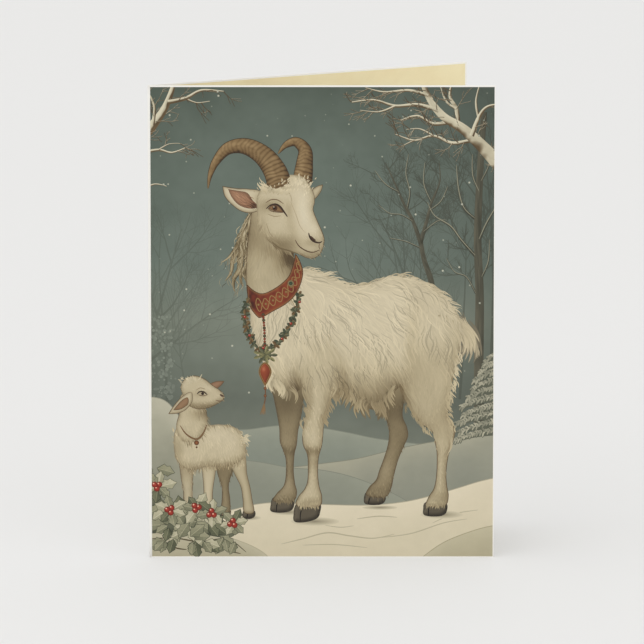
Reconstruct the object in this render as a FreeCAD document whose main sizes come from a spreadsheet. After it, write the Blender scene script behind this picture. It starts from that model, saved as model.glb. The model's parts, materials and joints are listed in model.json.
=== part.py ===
# A folded greeting card that stands open: one sheet of card stock, creased into a front and a back leaf.
#
# Millimetres. +Z is up, +X runs from the crease to the free edges and the front cover faces -Y.
# The origin is the middle of the footprint, on the surface that the card stands on.
# Each leaf is drawn lying along +X from the crease's axis, and is then turned to the angle it stands at.

import FreeCAD, Part
import Sketcher

import math
import os

DRIVING = (
    ("leaf_width", 127.0, "crease to free edge, 5 inches"),
    ("leaf_height", 177.8, "bottom to top edge, 7 inches"),
    ("stock", 0.46, "thickness of 18 point card stock"),
    ("opening", 22.5, "angle between the leaves as the card stands, in degrees"),
    ("face_gap", 0.12, "from the plane through the crease's axis to a leaf's inner face"),
    ("fold_gap", 0.3, "from the crease's axis to where a leaf's full thickness begins"),
    ("shoulder", 0.2, "rounding of a leaf's outer face where the sheet turns into the fold"),
    ("bead", 0.2, "radius of the bead of crushed fibre that scoring leaves inside the fold"),
)

FRONT, BACK = -1, 1  # the side of the crease's plane that a leaf's stock lies on, along Y


def driving_sheet(doc):
    """The spreadsheet of driving dimensions, one aliased cell each."""
    sheet = doc.addObject("Spreadsheet::Sheet", "Dimensions")
    for row, (alias, value, meaning) in enumerate(DRIVING, start=1):
        sheet.set(f"A{row}", str(value))
        sheet.set(f"B{row}", meaning)
        sheet.setAlias(f"A{row}", alias)
    doc.recompute()
    return sheet


def bind(obj, **expressions):
    """Ties an object's properties to expressions on the sheet."""
    for name, expression in expressions.items():
        obj.setExpression(name, expression)


def leaf_profile(body, side):
    """A leaf's section, seen from above: a long thin rectangle beside the crease's plane."""
    sketch = body.newObject("Sketcher::SketchObject", f"{body.Name}_Section")
    ground = next(plane for plane in body.Origin.OriginFeatures if plane.Role == "XY_Plane")
    sketch.AttachmentSupport = [(ground, "")]
    sketch.MapMode = "FlatFace"
    corners = [(1.0, side), (3.0, side), (3.0, 2.0 * side), (1.0, 2.0 * side)]
    for start, end in zip(corners, corners[1:] + corners[:1]):
        sketch.addGeometry(Part.LineSegment(FreeCAD.Vector(*start, 0), FreeCAD.Vector(*end, 0)))
    for line in range(4):
        sketch.addConstraint(Sketcher.Constraint("Coincident", line, 2, (line + 1) % 4, 1))
        sketch.addConstraint(Sketcher.Constraint("Vertical" if line % 2 else "Horizontal", line))
    outer = "Dimensions.face_gap + Dimensions.stock"
    for name, direction, line, size, expression in (
        ("fold_end", "DistanceX", 0, 1.0, "Dimensions.fold_gap"),
        ("free_end", "DistanceX", 1, 3.0, "Dimensions.leaf_width"),
        ("inner_face", "DistanceY", 0, 1.0 * side, f"{side} * Dimensions.face_gap"),
        ("outer_face", "DistanceY", 2, 2.0 * side, f"{side} * ({outer})"),
    ):
        index = sketch.addConstraint(Sketcher.Constraint(direction, -1, 1, line, 1, size))
        sketch.renameConstraint(index, name)
        sketch.setExpression(f"Constraints.{name}", expression)
    return sketch


def shoulder_edge(shape, sheet, side):
    """The name of the upright edge where a leaf's outer face meets its fold end."""
    corner = FreeCAD.Vector(sheet.fold_gap, side * (sheet.face_gap + sheet.stock), sheet.leaf_height / 2)
    distances = [edge.CenterOfMass.distanceToPoint(corner) for edge in shape.Edges]
    return f"Edge{distances.index(min(distances)) + 1}"


def leaf(doc, sheet, label, side):
    """One leaf of the card, from the crease to its free edge."""
    body = doc.addObject("PartDesign::Body", label)
    body.Label = label
    section = leaf_profile(body, side)
    doc.recompute()
    panel = body.newObject("PartDesign::Pad", f"{label}_Panel")
    panel.Profile = section
    bind(panel, Length="Dimensions.leaf_height")
    doc.recompute()
    turn = body.newObject("PartDesign::Fillet", f"{label}_Shoulder")
    turn.Base = (panel, [shoulder_edge(panel.Shape, sheet, side)])
    bind(turn, Radius="Dimensions.shoulder")
    doc.recompute()
    return body


def crease(doc, label):
    """The scored fold: a bead of crushed fibre on the axis and the web that ties it to the back leaf."""
    bead = doc.addObject("Part::Cylinder", "Bead")
    bind(bead, Radius="Dimensions.bead", Height="Dimensions.leaf_height")
    web = doc.addObject("Part::Box", "Web")
    bind(web, Length="Dimensions.fold_gap", Height="Dimensions.leaf_height")
    bind(web, Width="Dimensions.bead - Dimensions.face_gap")
    web.setExpression("Placement.Base.y", "Dimensions.face_gap")
    fold = doc.addObject("Part::Fuse", label)
    fold.Label = label
    fold.Base = bead
    fold.Tool = web
    doc.recompute()
    return fold


def stand_up(sheet, front, back_pieces):
    """Opens the card and puts the middle of its footprint at the origin. Returns a point on the axis."""
    angle = math.radians(sheet.opening)
    outer = sheet.face_gap + sheet.stock
    depth = sheet.leaf_width * math.sin(angle) + outer * math.cos(angle) + outer
    hinge = FreeCAD.Vector((sheet.bead - sheet.leaf_width) / 2, outer - depth / 2, 0)
    upright = FreeCAD.Vector(0, 0, 1)
    front.Placement = FreeCAD.Placement(hinge, FreeCAD.Rotation(upright, 0))
    for piece in back_pieces:
        piece.Placement = FreeCAD.Placement(hinge, FreeCAD.Rotation(upright, sheet.opening))
    return hinge


def check(doc, pieces):
    """Stops if an object failed to compute, or if a piece isn't one valid solid."""
    for obj in doc.Objects:
        if "Invalid" in obj.State or "Error" in obj.State:
            raise ValueError(f"{obj.Name} failed: {obj.State}")
    for piece in pieces:
        shape = piece.Shape
        if shape.isNull() or not shape.isValid() or len(shape.Solids) != 1:
            raise ValueError(f"{piece.Label} isn't one valid solid")


def main():
    doc = FreeCAD.newDocument("FoldedCard")
    sheet = driving_sheet(doc)
    front = leaf(doc, sheet, "front_leaf", FRONT)
    back = leaf(doc, sheet, "back_leaf", BACK)
    fold = crease(doc, "fold_crease")
    hinge = stand_up(sheet, front, (back, fold))
    doc.recompute()
    check(doc, (front, back, fold))

    os.makedirs("parts", exist_ok=True)
    for piece in (front, back, fold):
        piece.Shape.exportStep(f"parts/{piece.Label}.step")
        box = piece.Shape.BoundBox
        print(f"{piece.Label}: {piece.Shape.Volume:.1f} mm3, x {box.XMin:.3f} to {box.XMax:.3f},")
        print(f"    y {box.YMin:.3f} to {box.YMax:.3f}, z {box.ZMin:.3f} to {box.ZMax:.3f}")
    print(f"crease axis at x {hinge.x:.4f}, y {hinge.y:.4f}")


main()
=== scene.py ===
import json
import math

import bmesh
import bpy
import numpy as np
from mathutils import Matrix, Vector
from mathutils.geometry import delaunay_2d_cdt


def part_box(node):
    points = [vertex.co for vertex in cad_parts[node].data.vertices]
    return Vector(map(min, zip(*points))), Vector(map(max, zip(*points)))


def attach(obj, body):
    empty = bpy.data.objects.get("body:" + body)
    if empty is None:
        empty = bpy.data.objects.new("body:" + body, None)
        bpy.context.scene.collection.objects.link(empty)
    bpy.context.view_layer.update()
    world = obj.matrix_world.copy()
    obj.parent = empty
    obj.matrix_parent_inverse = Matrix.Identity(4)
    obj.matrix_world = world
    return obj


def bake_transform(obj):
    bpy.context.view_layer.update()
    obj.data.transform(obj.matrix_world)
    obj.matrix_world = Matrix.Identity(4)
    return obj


# A folded greeting card that stands open, with a winter picture printed on its cover.
# The CAD leaves give the card its shape. What is added is the paper wrapped round the fold, the two
# tinted inside faces, and the picture, which is built up in coloured layers a few microns thick.
# The picture is drawn in millimetres on the cover: u from the fold, v from the bottom edge.

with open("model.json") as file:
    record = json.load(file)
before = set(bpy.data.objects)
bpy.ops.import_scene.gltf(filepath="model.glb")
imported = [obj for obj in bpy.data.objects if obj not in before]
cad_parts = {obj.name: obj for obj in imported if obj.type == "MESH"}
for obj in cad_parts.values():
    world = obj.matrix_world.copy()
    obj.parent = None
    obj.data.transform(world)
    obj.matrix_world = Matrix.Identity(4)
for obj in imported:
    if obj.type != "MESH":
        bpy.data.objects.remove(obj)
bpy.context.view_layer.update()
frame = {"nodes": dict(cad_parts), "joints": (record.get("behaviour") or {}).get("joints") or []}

MM = 0.001
COVER, BACK = "cover", "back"
HINGE = Vector(frame["joints"][0]["pos_m"])
COVER_LOW, COVER_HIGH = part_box("front_leaf")
COVER_WIDTH = (COVER_HIGH.x - COVER_LOW.x) / MM
CARD_HEIGHT = (COVER_HIGH.z - COVER_LOW.z) / MM
OPENING = -math.radians(frame["joints"][0]["range_deg"][0])

# The print stops short of the trimmed edges and leaves a thin line of bare paper, mm
MARGIN = 0.3
FOLD_MARGIN = 0.1
TOP_MARGIN = 0.55
PRINT_LOW = np.array([FOLD_MARGIN, MARGIN])
PRINT_HIGH = np.array([COVER_WIDTH - MARGIN, CARD_HEIGHT - TOP_MARGIN])

INK_STEP = 0.0022       # how far each printed layer stands above the one before, mm
STROKE_STEP = 0.0011    # how far strokes that cross within one layer are kept apart, mm
LIGHT = np.array([-0.55, 0.83])  # towards the light in the picture, from its upper left
WHITEST = 222           # no hair is lighter than this, so that the coat keeps its drawing


# ---------------------------------------------------------------- colours and fields

def ink(red, green, blue):
    """A printed colour, each channel from 0 to 255."""
    return np.array([red, green, blue], float)


def alike(colour, count):
    """The same colour for each of count points."""
    return np.repeat([colour], count, axis=0)


def lerp(first, second, share):
    """What lies a share of the way from first to second."""
    return first + (second - first) * share


def tint(first, second, share):
    """Colours between two colours, one for each value in share."""
    share = np.clip(share, 0, 1)[..., None]
    return first * (1 - share) + second * share


def ramp(value, tones):
    """Colours along a list of tones, for values from 0 (the first) to 1 (the last)."""
    stops = np.linspace(0, 1, len(tones))
    return np.stack([np.interp(value, stops, [tone[i] for tone in tones]) for i in range(3)], axis=-1)


def linear(colours):
    """Display colours from 0 to 255 as linear light from 0 to 1."""
    part = np.clip(colours, 0, 255) / 255
    return np.where(part <= 0.04045, part / 12.92, ((part + 0.055) / 1.055) ** 2.4)


def mottle(points, size, seed):
    """Smooth random patches from -1 to 1, about size across."""
    lattice = np.random.default_rng(seed).uniform(-1, 1, (256, 256))
    cell = np.asarray(points) / size
    base = np.floor(cell).astype(int)
    ease = cell - base
    ease = ease * ease * (3 - 2 * ease)
    i, j = base[:, 0] % 256, base[:, 1] % 256
    near = lerp(lattice[i, j], lattice[(i + 1) % 256, j], ease[:, 0])
    far = lerp(lattice[i, (j + 1) % 256], lattice[(i + 1) % 256, (j + 1) % 256], ease[:, 0])
    return lerp(near, far, ease[:, 1])


def glow(points, centre, radius):
    """1 at centre, fading to 0 over about radius. A radius may be a pair, across and up."""
    offset = (points - np.array(centre)) / np.array(radius)
    return np.exp(-(offset ** 2).sum(axis=-1))


# ---------------------------------------------------------------- lines and outlines

def curve(points, closed=False, step=0.6):
    """A smooth line through the points, sampled about step apart. A point given twice is a corner."""
    p = np.array(points, float)
    if closed:
        before, after = np.roll(p, 1, axis=0), np.roll(p, -1, axis=0)
    else:
        before, after = np.vstack([p[:1], p[:-1]]), np.vstack([p[1:], p[-1:]])
    tangent = (after - before) / 2
    line = []
    for i in range(len(p) if closed else len(p) - 1):
        k = (i + 1) % len(p)
        length = np.linalg.norm(p[k] - p[i])
        if length < 1e-6:
            continue
        t = np.linspace(0, 1, max(2, math.ceil(length / step)) + 1)[:-1, None]
        line.append(
            (2 * t ** 3 - 3 * t ** 2 + 1) * p[i] + (t ** 3 - 2 * t ** 2 + t) * tangent[i]
            + (3 * t ** 2 - 2 * t ** 3) * p[k] + (t ** 3 - t ** 2) * tangent[k]
        )
    if not closed:
        line.append(p[-1:])
    return np.vstack(line)


def closed_line(outline):
    """An outline as a line that ends where it starts."""
    return np.vstack([outline, outline[:1]])


def arrows(angles):
    """Unit vectors at angles in radians."""
    return np.stack([np.cos(angles), np.sin(angles)], axis=-1)


def heading(degrees):
    """The unit vector at an angle in degrees."""
    return arrows(math.radians(degrees))


def leftward(line):
    """The unit direction to the left of a line at each point, or of each line in an array of them."""
    along = np.gradient(line, axis=-2)
    along /= np.maximum(np.linalg.norm(along, axis=-1, keepdims=True), 1e-9)
    return np.stack([-along[..., 1], along[..., 0]], axis=-1)


def grid_faces(rows, columns, turned=False):
    """The quads between a grid's points, which are counted row by row."""
    near, far = (columns, 1) if turned else (1, columns)
    return [
        (k, k + near, k + columns + 1, k + far)
        for row in range(rows - 1)
        for k in range(row * columns, (row + 1) * columns - 1)
    ]


def nearest(outline, points):
    """Each point's distance to a closed outline, and the direction from the point to it."""
    batch = 2000
    along = np.roll(outline, -1, axis=0) - outline
    square = np.maximum((along ** 2).sum(axis=1), 1e-12)
    distance = np.empty(len(points))
    towards = np.empty((len(points), 2))
    for first in range(0, len(points), batch):
        part = slice(first, first + batch)
        offset = points[part, None] - outline
        share = np.clip((offset * along).sum(axis=2) / square, 0, 1)
        gap = share[..., None] * along - offset
        length = np.linalg.norm(gap, axis=2)
        best = (np.arange(len(gap)), length.argmin(axis=1))
        distance[part] = length[best]
        towards[part] = gap[best] / np.maximum(length[best], 1e-6)[:, None]
    return distance, towards


def inside(outline, points):
    """True for each point within a closed outline."""
    a, b = outline, np.roll(outline, -1, axis=0)
    rise = b[:, 1] - a[:, 1]
    rise = np.where(np.abs(rise) < 1e-12, 1e-12, rise)
    u, v = points[:, :1], points[:, 1:]
    spans = (a[:, 1] > v) != (b[:, 1] > v)
    crosses = u < a[:, 0] + (v - a[:, 1]) / rise * (b[:, 0] - a[:, 0])
    return (spans & crosses).sum(axis=1) % 2 == 1


def lattice(low, high, spacing, rng=None):
    """Points on a staggered lattice over a box, shaken a little if rng is given."""
    rows = np.arange(low[1], high[1] + spacing, spacing * 0.866)
    columns = np.arange(low[0] - spacing, high[0] + spacing, spacing)
    u, v = np.meshgrid(columns, rows)
    u = u + np.where(np.arange(len(rows)) % 2, spacing / 2, 0)[:, None]
    points = np.stack([u.ravel(), v.ravel()], axis=1)
    if rng is not None:
        points = points + rng.uniform(-0.5, 0.5, points.shape) * spacing
    return points


def flow(guides):
    """A field of directions: each guide is (u, v, degrees), and the nearer guides count for more."""
    places = np.array([guide[:2] for guide in guides], float)
    ways = arrows(np.radians([guide[2] for guide in guides]))

    def direction(points):
        square = ((points[:, None] - places) ** 2).sum(axis=2)
        total = ((1 / (square + 6.0) ** 1.5)[..., None] * ways).sum(axis=1)
        return np.arctan2(total[:, 1], total[:, 0])

    return direction


# ---------------------------------------------------------------- printed layers

def coloured_mesh(name, places, faces, colours, body):
    """An object that rides on a body, with a printed colour at each vertex."""
    mesh = bpy.data.meshes.new(name)
    mesh.from_pydata(places.tolist(), [], faces)
    paint = np.ones((len(places), 4), np.float32)
    paint[:, :3] = linear(colours)
    mesh.color_attributes.new("ink", "FLOAT_COLOR", "POINT").data.foreach_set("color", paint.ravel())
    mesh.materials.append(printed_paper())
    piece = bpy.data.objects.new(name, mesh)
    piece.visible_shadow = False  # ink lies in the paper, so it neither shades nor tints what is beside it
    piece.visible_diffuse = False
    bpy.context.scene.collection.objects.link(piece)
    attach(piece, body)
    return piece


class Layer:
    """One printed layer of the cover: flat faces with a colour at each vertex.

    A lift is counted in stroke steps above the layer's own base."""

    top = 0.0  # the height that the layers reach so far

    def __init__(self, name):
        self.name = name
        self.base = Layer.top + INK_STEP
        self.points = []
        self.heights = []
        self.colours = []
        self.faces = []
        self.size = 0

    def add(self, points, colours, faces, lift=0):
        self.faces.extend(tuple(self.size + k for k in face) for face in faces)
        self.points.append(points)
        self.colours.append(colours)
        self.heights.append(np.broadcast_to(lift * STROKE_STEP, len(points)))
        self.size += len(points)

    def strokes(self, lines, widths, colours, lift=0):
        """Ribbons along lines, an array of line, point and u, v, with a width and a colour at each point."""
        side = leftward(lines) * widths[..., None] / 2
        count, steps = lines.shape[:2]
        points = np.stack([lines + side, lines - side], axis=2).reshape(-1, 2)
        shades = np.repeat(colours.reshape(-1, 3), 2, axis=0)
        lifts = np.repeat(np.broadcast_to(np.reshape(lift, (-1, 1)), (count, steps)).ravel(), 2)
        faces = []
        for first in range(0, count * steps * 2, steps * 2):
            for k in range(first, first + steps * 2 - 2, 2):
                faces.append((k, k + 1, k + 3, k + 2))
        self.add(points, shades, faces, lifts)

    def band(self, line, widths, colour, across, lift=0):
        """A band along one line. colour is a function of three arrays: the share of the way along, the
        place across from -1 (right) to 1 (left of the way), and how far that side faces the light."""
        side = leftward(line)
        places = np.linspace(-1, 1, across)
        widths = np.broadcast_to(widths, len(line))
        points = line[:, None] + side[:, None] * (widths[:, None] * places / 2)[..., None]
        share = np.repeat(np.linspace(0, 1, len(line)), across)
        place = np.tile(places, len(line))
        facing = place * np.repeat(side @ LIGHT, across)
        faces = grid_faces(len(line), across, turned=True)
        self.add(points.reshape(-1, 2), colour(share, place, facing), faces, lift)

    def line(self, line, width, colour, taper=True, lift=0):
        """One drawn line of even colour, thinning towards both ends if taper is set."""
        share = np.linspace(0, 1, len(line))
        widths = width * (0.25 + 0.75 * np.sin(np.pi * share) ** 0.6) if taper else np.full(len(line), width)
        self.strokes(line[None], widths[None], np.broadcast_to(colour, (1, len(line), 3)), lift)

    def lines(self, drawn, step, lift):
        """Drawn lines that taper, each given as its points, its width and its colour."""
        for points, width, colour in drawn:
            self.line(curve(points, step=step), width, colour, lift=lift)

    def dot(self, centre, radius, colour, edge=None, lift=0, sides=10):
        """A round spot, whose edge may have a colour of its own."""
        ring = np.array(centre) + radius * arrows(np.arange(sides) / sides * math.tau)
        points = np.vstack([[centre], ring])
        colours = np.vstack([[colour], alike(colour if edge is None else edge, sides)])
        self.add(points, colours, [(0, 1 + k, 1 + (k + 1) % sides) for k in range(sides)], lift)

    def fill(self, outline, colour, spacing, lift=0):
        """A filled outline. colour is a function of the points; spacing is that of the inner ones."""
        low = np.maximum(outline.min(axis=0), PRINT_LOW)
        high = np.minimum(outline.max(axis=0), PRINT_HIGH)
        grid = lattice(low, high, spacing)
        grid = grid[inside(outline, grid)]
        if len(grid):
            grid = grid[nearest(outline, grid)[0] > spacing * 0.4]
        points = [Vector(p) for p in np.vstack([outline, grid])]
        loop = list(range(len(outline)))
        verts, _, faces = delaunay_2d_cdt(points, [], [loop], 1, 1e-5)[:3]
        points = np.array([tuple(p) for p in verts])
        self.add(points, colour(points), faces, lift)

    def make(self):
        """The layer as an object on the cover's face, trimmed to the printed area."""
        points = np.vstack(self.points)
        heights = self.base + np.concatenate(self.heights)
        Layer.top = heights.max()
        places = np.array(COVER_LOW) + MM * np.stack([points[:, 0], -heights, points[:, 1]], axis=1)
        colours = np.vstack(self.colours)
        trim(coloured_mesh(self.name, places, self.faces, colours, COVER).data)


def trim(mesh):
    """Cuts away what crosses the edge of the printed area."""
    bm = bmesh.new()
    bm.from_mesh(mesh)
    low, high = PRINT_LOW * MM, PRINT_HIGH * MM
    for place, out in (
        ((COVER_LOW.x + low[0], 0, 0), (-1, 0, 0)),
        ((COVER_LOW.x + high[0], 0, 0), (1, 0, 0)),
        ((0, 0, COVER_LOW.z + low[1]), (0, 0, -1)),
        ((0, 0, COVER_LOW.z + high[1]), (0, 0, 1)),
    ):
        geometry = [*bm.verts, *bm.edges, *bm.faces]
        bmesh.ops.bisect_plane(bm, geom=geometry, plane_co=place, plane_no=out, clear_outer=True, dist=1e-7)
    loose = [vert for vert in bm.verts if not vert.link_faces]
    bmesh.ops.delete(bm, geom=loose, context="VERTS")
    bm.to_mesh(mesh)
    bm.free()


# ---------------------------------------------------------------- painted forms and fur

COAT = [ink(84, 69, 47), ink(126, 111, 82), ink(158, 144, 113), ink(188, 175, 144), ink(207, 195, 166),
        ink(220, 211, 186)]
SHADED_COAT = [ink(70, 57, 39), ink(104, 91, 66), ink(132, 118, 89), ink(160, 146, 116), ink(182, 170, 140),
               ink(200, 189, 160)]
CONTOUR = ink(92, 74, 50)


class Form:
    """A painted solid: a smooth outline, tones from shade to light, and soft spots of light and shade."""

    def __init__(self, points, radius, tones=COAT, level=0.66, spots=(), rim=0.4, depth=0.1, turn=0.15):
        self.outline = curve(points, closed=True, step=0.8)
        self.radius = radius
        self.tones = tones
        self.level = level
        self.spots = spots
        self.rim = rim
        self.depth = depth
        self.turn = turn

    def colour(self, points):
        distance, towards = nearest(self.outline, points)
        tilt = np.clip(1 - distance / self.radius, 0, 1)
        value = self.level + self.depth * tilt * (towards @ LIGHT) - self.turn * tilt ** 2
        value = value + 0.02 * mottle(points, 3.4, 71)
        for centre, reach, amount in self.spots:
            value = value + amount * glow(points, centre, reach)
        return tint(ramp(value, self.tones), self.tones[0], self.rim * np.exp(-distance / 0.35))

    def holds(self, points, margin=0.0):
        held = inside(self.outline, points)
        return held & (nearest(self.outline, points)[0] > margin) if margin else held

    def roots(self, spacing, rng, margin=0.0):
        """Shaken places all over the form, the lowest first."""
        places = lattice(self.outline.min(axis=0), self.outline.max(axis=0), spacing, rng)
        places = places[self.holds(places, margin)]
        return places[places[:, 1].argsort()]


def contour(layer, form, width=0.26, colour=CONTOUR, keep=None, lift=1):
    """The drawn edge of a form, only where keep is true of its points."""
    line = closed_line(form.outline)
    kept = np.ones(len(line), bool) if keep is None else keep(line)
    cuts = np.flatnonzero(np.diff(kept.astype(int))) + 1
    for run in np.split(np.arange(len(line)), cuts):
        if kept[run[0]] and len(run) > 3:
            layer.line(line[run], width, colour, lift=lift)


def strands(roots, direction, length, rng, wave=0.3, steps=7):
    """Wavy lines that start at the roots and follow a field. Neighbours lean and wave together."""
    count = len(roots)
    reach = length * rng.uniform(0.65, 1.25, count)
    lean = 0.20 * mottle(roots, 7.0, 73) + rng.normal(0, 0.05, count)
    phase = 3.0 * mottle(roots, 5.5, 74) + rng.normal(0, 0.3, count)
    place = roots
    lines = [place]
    for k in range(steps - 1):
        angle = direction(place) + lean + wave * np.sin(phase + 4.6 * k / steps)
        place = place + (reach / (steps - 1))[:, None] * arrows(angle)
        lines.append(place)
    return np.stack(lines, axis=1)


def brush(layer, lines, width, colours, rng, lift=0, gain=0.03, vary=0.02):
    """Tapering hairs along the lines, each a little different.

    colours holds one colour for each hair, or one for its root and one for its tip. gain lightens
    the tip, and vary is how much patches of hair differ."""
    count, steps = lines.shape[:2]
    share = np.linspace(0, 1, steps)[:, None]
    profile = np.sin(np.pi * (0.10 + 0.90 * share[:, 0])) ** 0.8
    widths = width * rng.uniform(0.6, 1.3, (count, 1)) * profile
    streak = 1 + vary * (mottle(lines[:, 0], 2.2, 75) + mottle(lines[:, 0], 0.9, 76))
    ends = colours.reshape(count, -1, 3)
    shades = lerp(ends[:, :1], ends[:, -1:], share) * (1 + gain * (share - 0.4)) * streak[:, None, None]
    order = np.arange(count)
    layer.strokes(lines, widths, shades, lift + order * 6 // max(count, 1) + order % 4)


def fur(layer, roots, direction, length, width, colours, rng, wave=0.3, steps=7, lift=0, **shading):
    """Single hairs from the roots along a field."""
    brush(layer, strands(roots, direction, length, rng, wave, steps), width, colours, rng, lift, **shading)


def locks(layer, roots, direction, length, spread, width, colours, rng, wave, hairs, lift, gain=0.08):
    """Locks of hair: side by side at the root, drawn together at the tip, with light along the middle."""
    steps = 9
    middle = strands(roots, direction, length, rng, wave, steps)
    side = leftward(middle)
    narrowing = (1 - 0.9 * np.linspace(0, 1, steps) ** 0.8)[:, None]
    lines, shades = [], []
    for place in np.linspace(-1, 1, hairs):
        across = place + rng.normal(0, 0.12, (len(roots), 1, 1))
        lines.append(middle + side * across * spread / 2 * narrowing)
        shades.append(colours * (1.02 - 0.07 * place ** 2 + 0.03 * place))
    lines = np.stack(lines, axis=1).reshape(-1, steps, 2)
    shades = np.stack(shades, axis=1).reshape(-1, 3)
    brush(layer, lines, width, shades, rng, lift, gain)


# ---------------------------------------------------------------- materials

def nodes_of(material):
    """A new material's node maker, its links and its shader."""
    material.use_nodes = True
    tree = material.node_tree
    return tree.nodes.new, tree.links.new, tree.nodes["Principled BSDF"]


def noise(new, link, coordinates, scale, detail=3.0, roughness=0.55):
    """A noise texture's height, in the object's own coordinates."""
    texture = new("ShaderNodeTexNoise")
    texture.inputs["Scale"].default_value = scale
    texture.inputs["Detail"].default_value = detail
    texture.inputs["Roughness"].default_value = roughness
    link(coordinates.outputs["Object"], texture.inputs["Vector"])
    return texture.outputs["Fac"]


def spread(new, link, value, low, high):
    """A 0 to 1 value spread over low to high."""
    ranged = new("ShaderNodeMapRange")
    ranged.inputs["To Min"].default_value = low
    ranged.inputs["To Max"].default_value = high
    link(value, ranged.inputs["Value"])
    return ranged.outputs["Result"]


def paper_surface(name, base_colour, grain_depth):
    """A paper: its base colour with cloudiness and fibre, its roughness and its fine tooth."""
    material = bpy.data.materials.new(name)
    new, link, shader = nodes_of(material)
    coordinates = new("ShaderNodeTexCoord")
    cloud = spread(new, link, noise(new, link, coordinates, 90.0), 0.975, 1.025)
    fibre = noise(new, link, coordinates, 1600.0, 4.0, 0.7)
    speck = spread(new, link, fibre, 0.965, 1.035)
    both = new("ShaderNodeMath")
    both.operation = "MULTIPLY"
    link(cloud, both.inputs[0])
    link(speck, both.inputs[1])
    scaled = new("ShaderNodeVectorMath")
    scaled.operation = "SCALE"
    link(base_colour(new), scaled.inputs[0])
    link(both.outputs["Value"], scaled.inputs["Scale"])
    link(scaled.outputs["Vector"], shader.inputs["Base Color"])
    link(spread(new, link, fibre, 0.5, 0.72), shader.inputs["Roughness"])
    bump = new("ShaderNodeBump")
    bump.inputs["Strength"].default_value = 0.35
    bump.inputs["Distance"].default_value = grain_depth
    link(fibre, bump.inputs["Height"])
    link(bump.outputs["Normal"], shader.inputs["Normal"])
    shader.inputs["Specular IOR Level"].default_value = 0.3
    return material


def painted(new):
    """The colour at the mesh's own vertices."""
    attribute = new("ShaderNodeAttribute")
    attribute.attribute_name = "ink"
    return attribute.outputs["Color"]


def warm_white(new):
    """The paper's own colour."""
    colour = new("ShaderNodeRGB")
    colour.outputs["Color"].default_value = (*linear(ink(243, 241, 235)), 1)
    return colour.outputs["Color"]


def printed_paper():
    """Ink on uncoated card."""
    return bpy.data.materials.get("printed_paper") or paper_surface("printed_paper", painted, 0.00002)


def bare_card():
    """Uncoated warm white card, for the leaves, their cut edges and the fold."""
    return bpy.data.materials.get("bare_card") or paper_surface("bare_card", warm_white, 0.00003)


# ---------------------------------------------------------------- the picture: sky and snow

def sky_colour(points):
    """Grey-green dusk in level bands, cloudy, and darker towards the picture's edges."""
    u, v = points[:, 0] / COVER_WIDTH, points[:, 1]
    heights = [0, 60, 75, 90, 112, 145, 178]
    tones = [ink(150, 152, 135), ink(100, 106, 95), ink(112, 119, 107), ink(119, 126, 113),
             ink(106, 117, 107), ink(98, 109, 99), ink(89, 99, 89)]
    colour = np.stack([np.interp(v, heights, [tone[i] for tone in tones]) for i in range(3)], axis=1)
    colour *= (1 - 0.09 * np.clip(u - 0.55, 0, 1) * 2)[:, None]
    patches = 3.5 * mottle(points, 19, 1) + 3.0 * mottle(points, 6.5, 2) + 1.8 * mottle(points, 2.2, 3)
    edge = np.minimum.reduce([points[:, 0], COVER_WIDTH - points[:, 0], CARD_HEIGHT - v])
    return colour + patches[:, None] - (9 * np.exp(-np.clip(edge, 0, 60) / 9))[:, None]


def paint_sky(layer):
    """The ground of the picture: a grid that covers all of it."""
    spacing = 0.9
    columns = int(COVER_WIDTH / spacing) + 2
    rows = int(CARD_HEIGHT / spacing) + 2
    u, v = np.meshgrid(np.arange(columns) * spacing, np.arange(rows) * spacing)
    points = np.stack([u.ravel(), v.ravel()], axis=1)
    layer.add(points, sky_colour(points), grid_faces(rows, columns))


# ---------------------------------------------------------------- the picture: trees

def grow(twigs, rng, start, degrees, length, width, depth, forks=4, spread_angle=38, rise=0.0):
    """Adds a branch and, for depth more steps, the branches that fork from it. rise turns them upwards."""
    steps = max(4, int(length / 2.2))
    bend = rng.normal(0, 14)
    line, turned = [np.array(start, float)], [degrees]
    for _ in range(steps):
        upward = (90 - degrees + 180) % 360 - 180
        degrees += bend / steps + rng.normal(0, 9) * min(1, 8 / length) + rise * upward / steps
        line.append(line[-1] + heading(degrees) * length / steps)
        turned.append(degrees)
    twigs.append((np.array(line), width, depth))
    if depth == 0:
        return
    side = rng.choice((-1, 1))
    for share in np.sort(rng.uniform(0.22, 0.97, forks)):
        side = -side
        k = int(share * steps)
        grow(
            twigs, rng, line[k], turned[k] + side * rng.uniform(0.6, 1.3) * spread_angle,
            length * rng.uniform(0.38, 0.62) * (1.15 - 0.5 * share), width * (0.75 - 0.4 * share),
            depth - 1, forks, spread_angle, rise,
        )


def side_way(rng, line, k, least, most):
    """The heading, in degrees, of a branch that leaves a line at its point k by least to most degrees."""
    along = line[k] - line[k - 1]
    return math.degrees(math.atan2(along[1], along[0])) + rng.choice((-1, 1)) * rng.uniform(least, most)


def draw_twigs(layer, twigs, colour):
    """Bare branches as tapering strokes. colour is a function of a line's points and its depth."""
    for number, (line, width, depth) in enumerate(twigs):
        smooth_line = curve(line, step=1.2)
        share = np.linspace(0, 1, len(smooth_line))
        widths = np.maximum(width * (1 - 0.72 * share), 0.09)
        layer.strokes(smooth_line[None], widths[None], colour(smooth_line, depth)[None], number % 4)


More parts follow.
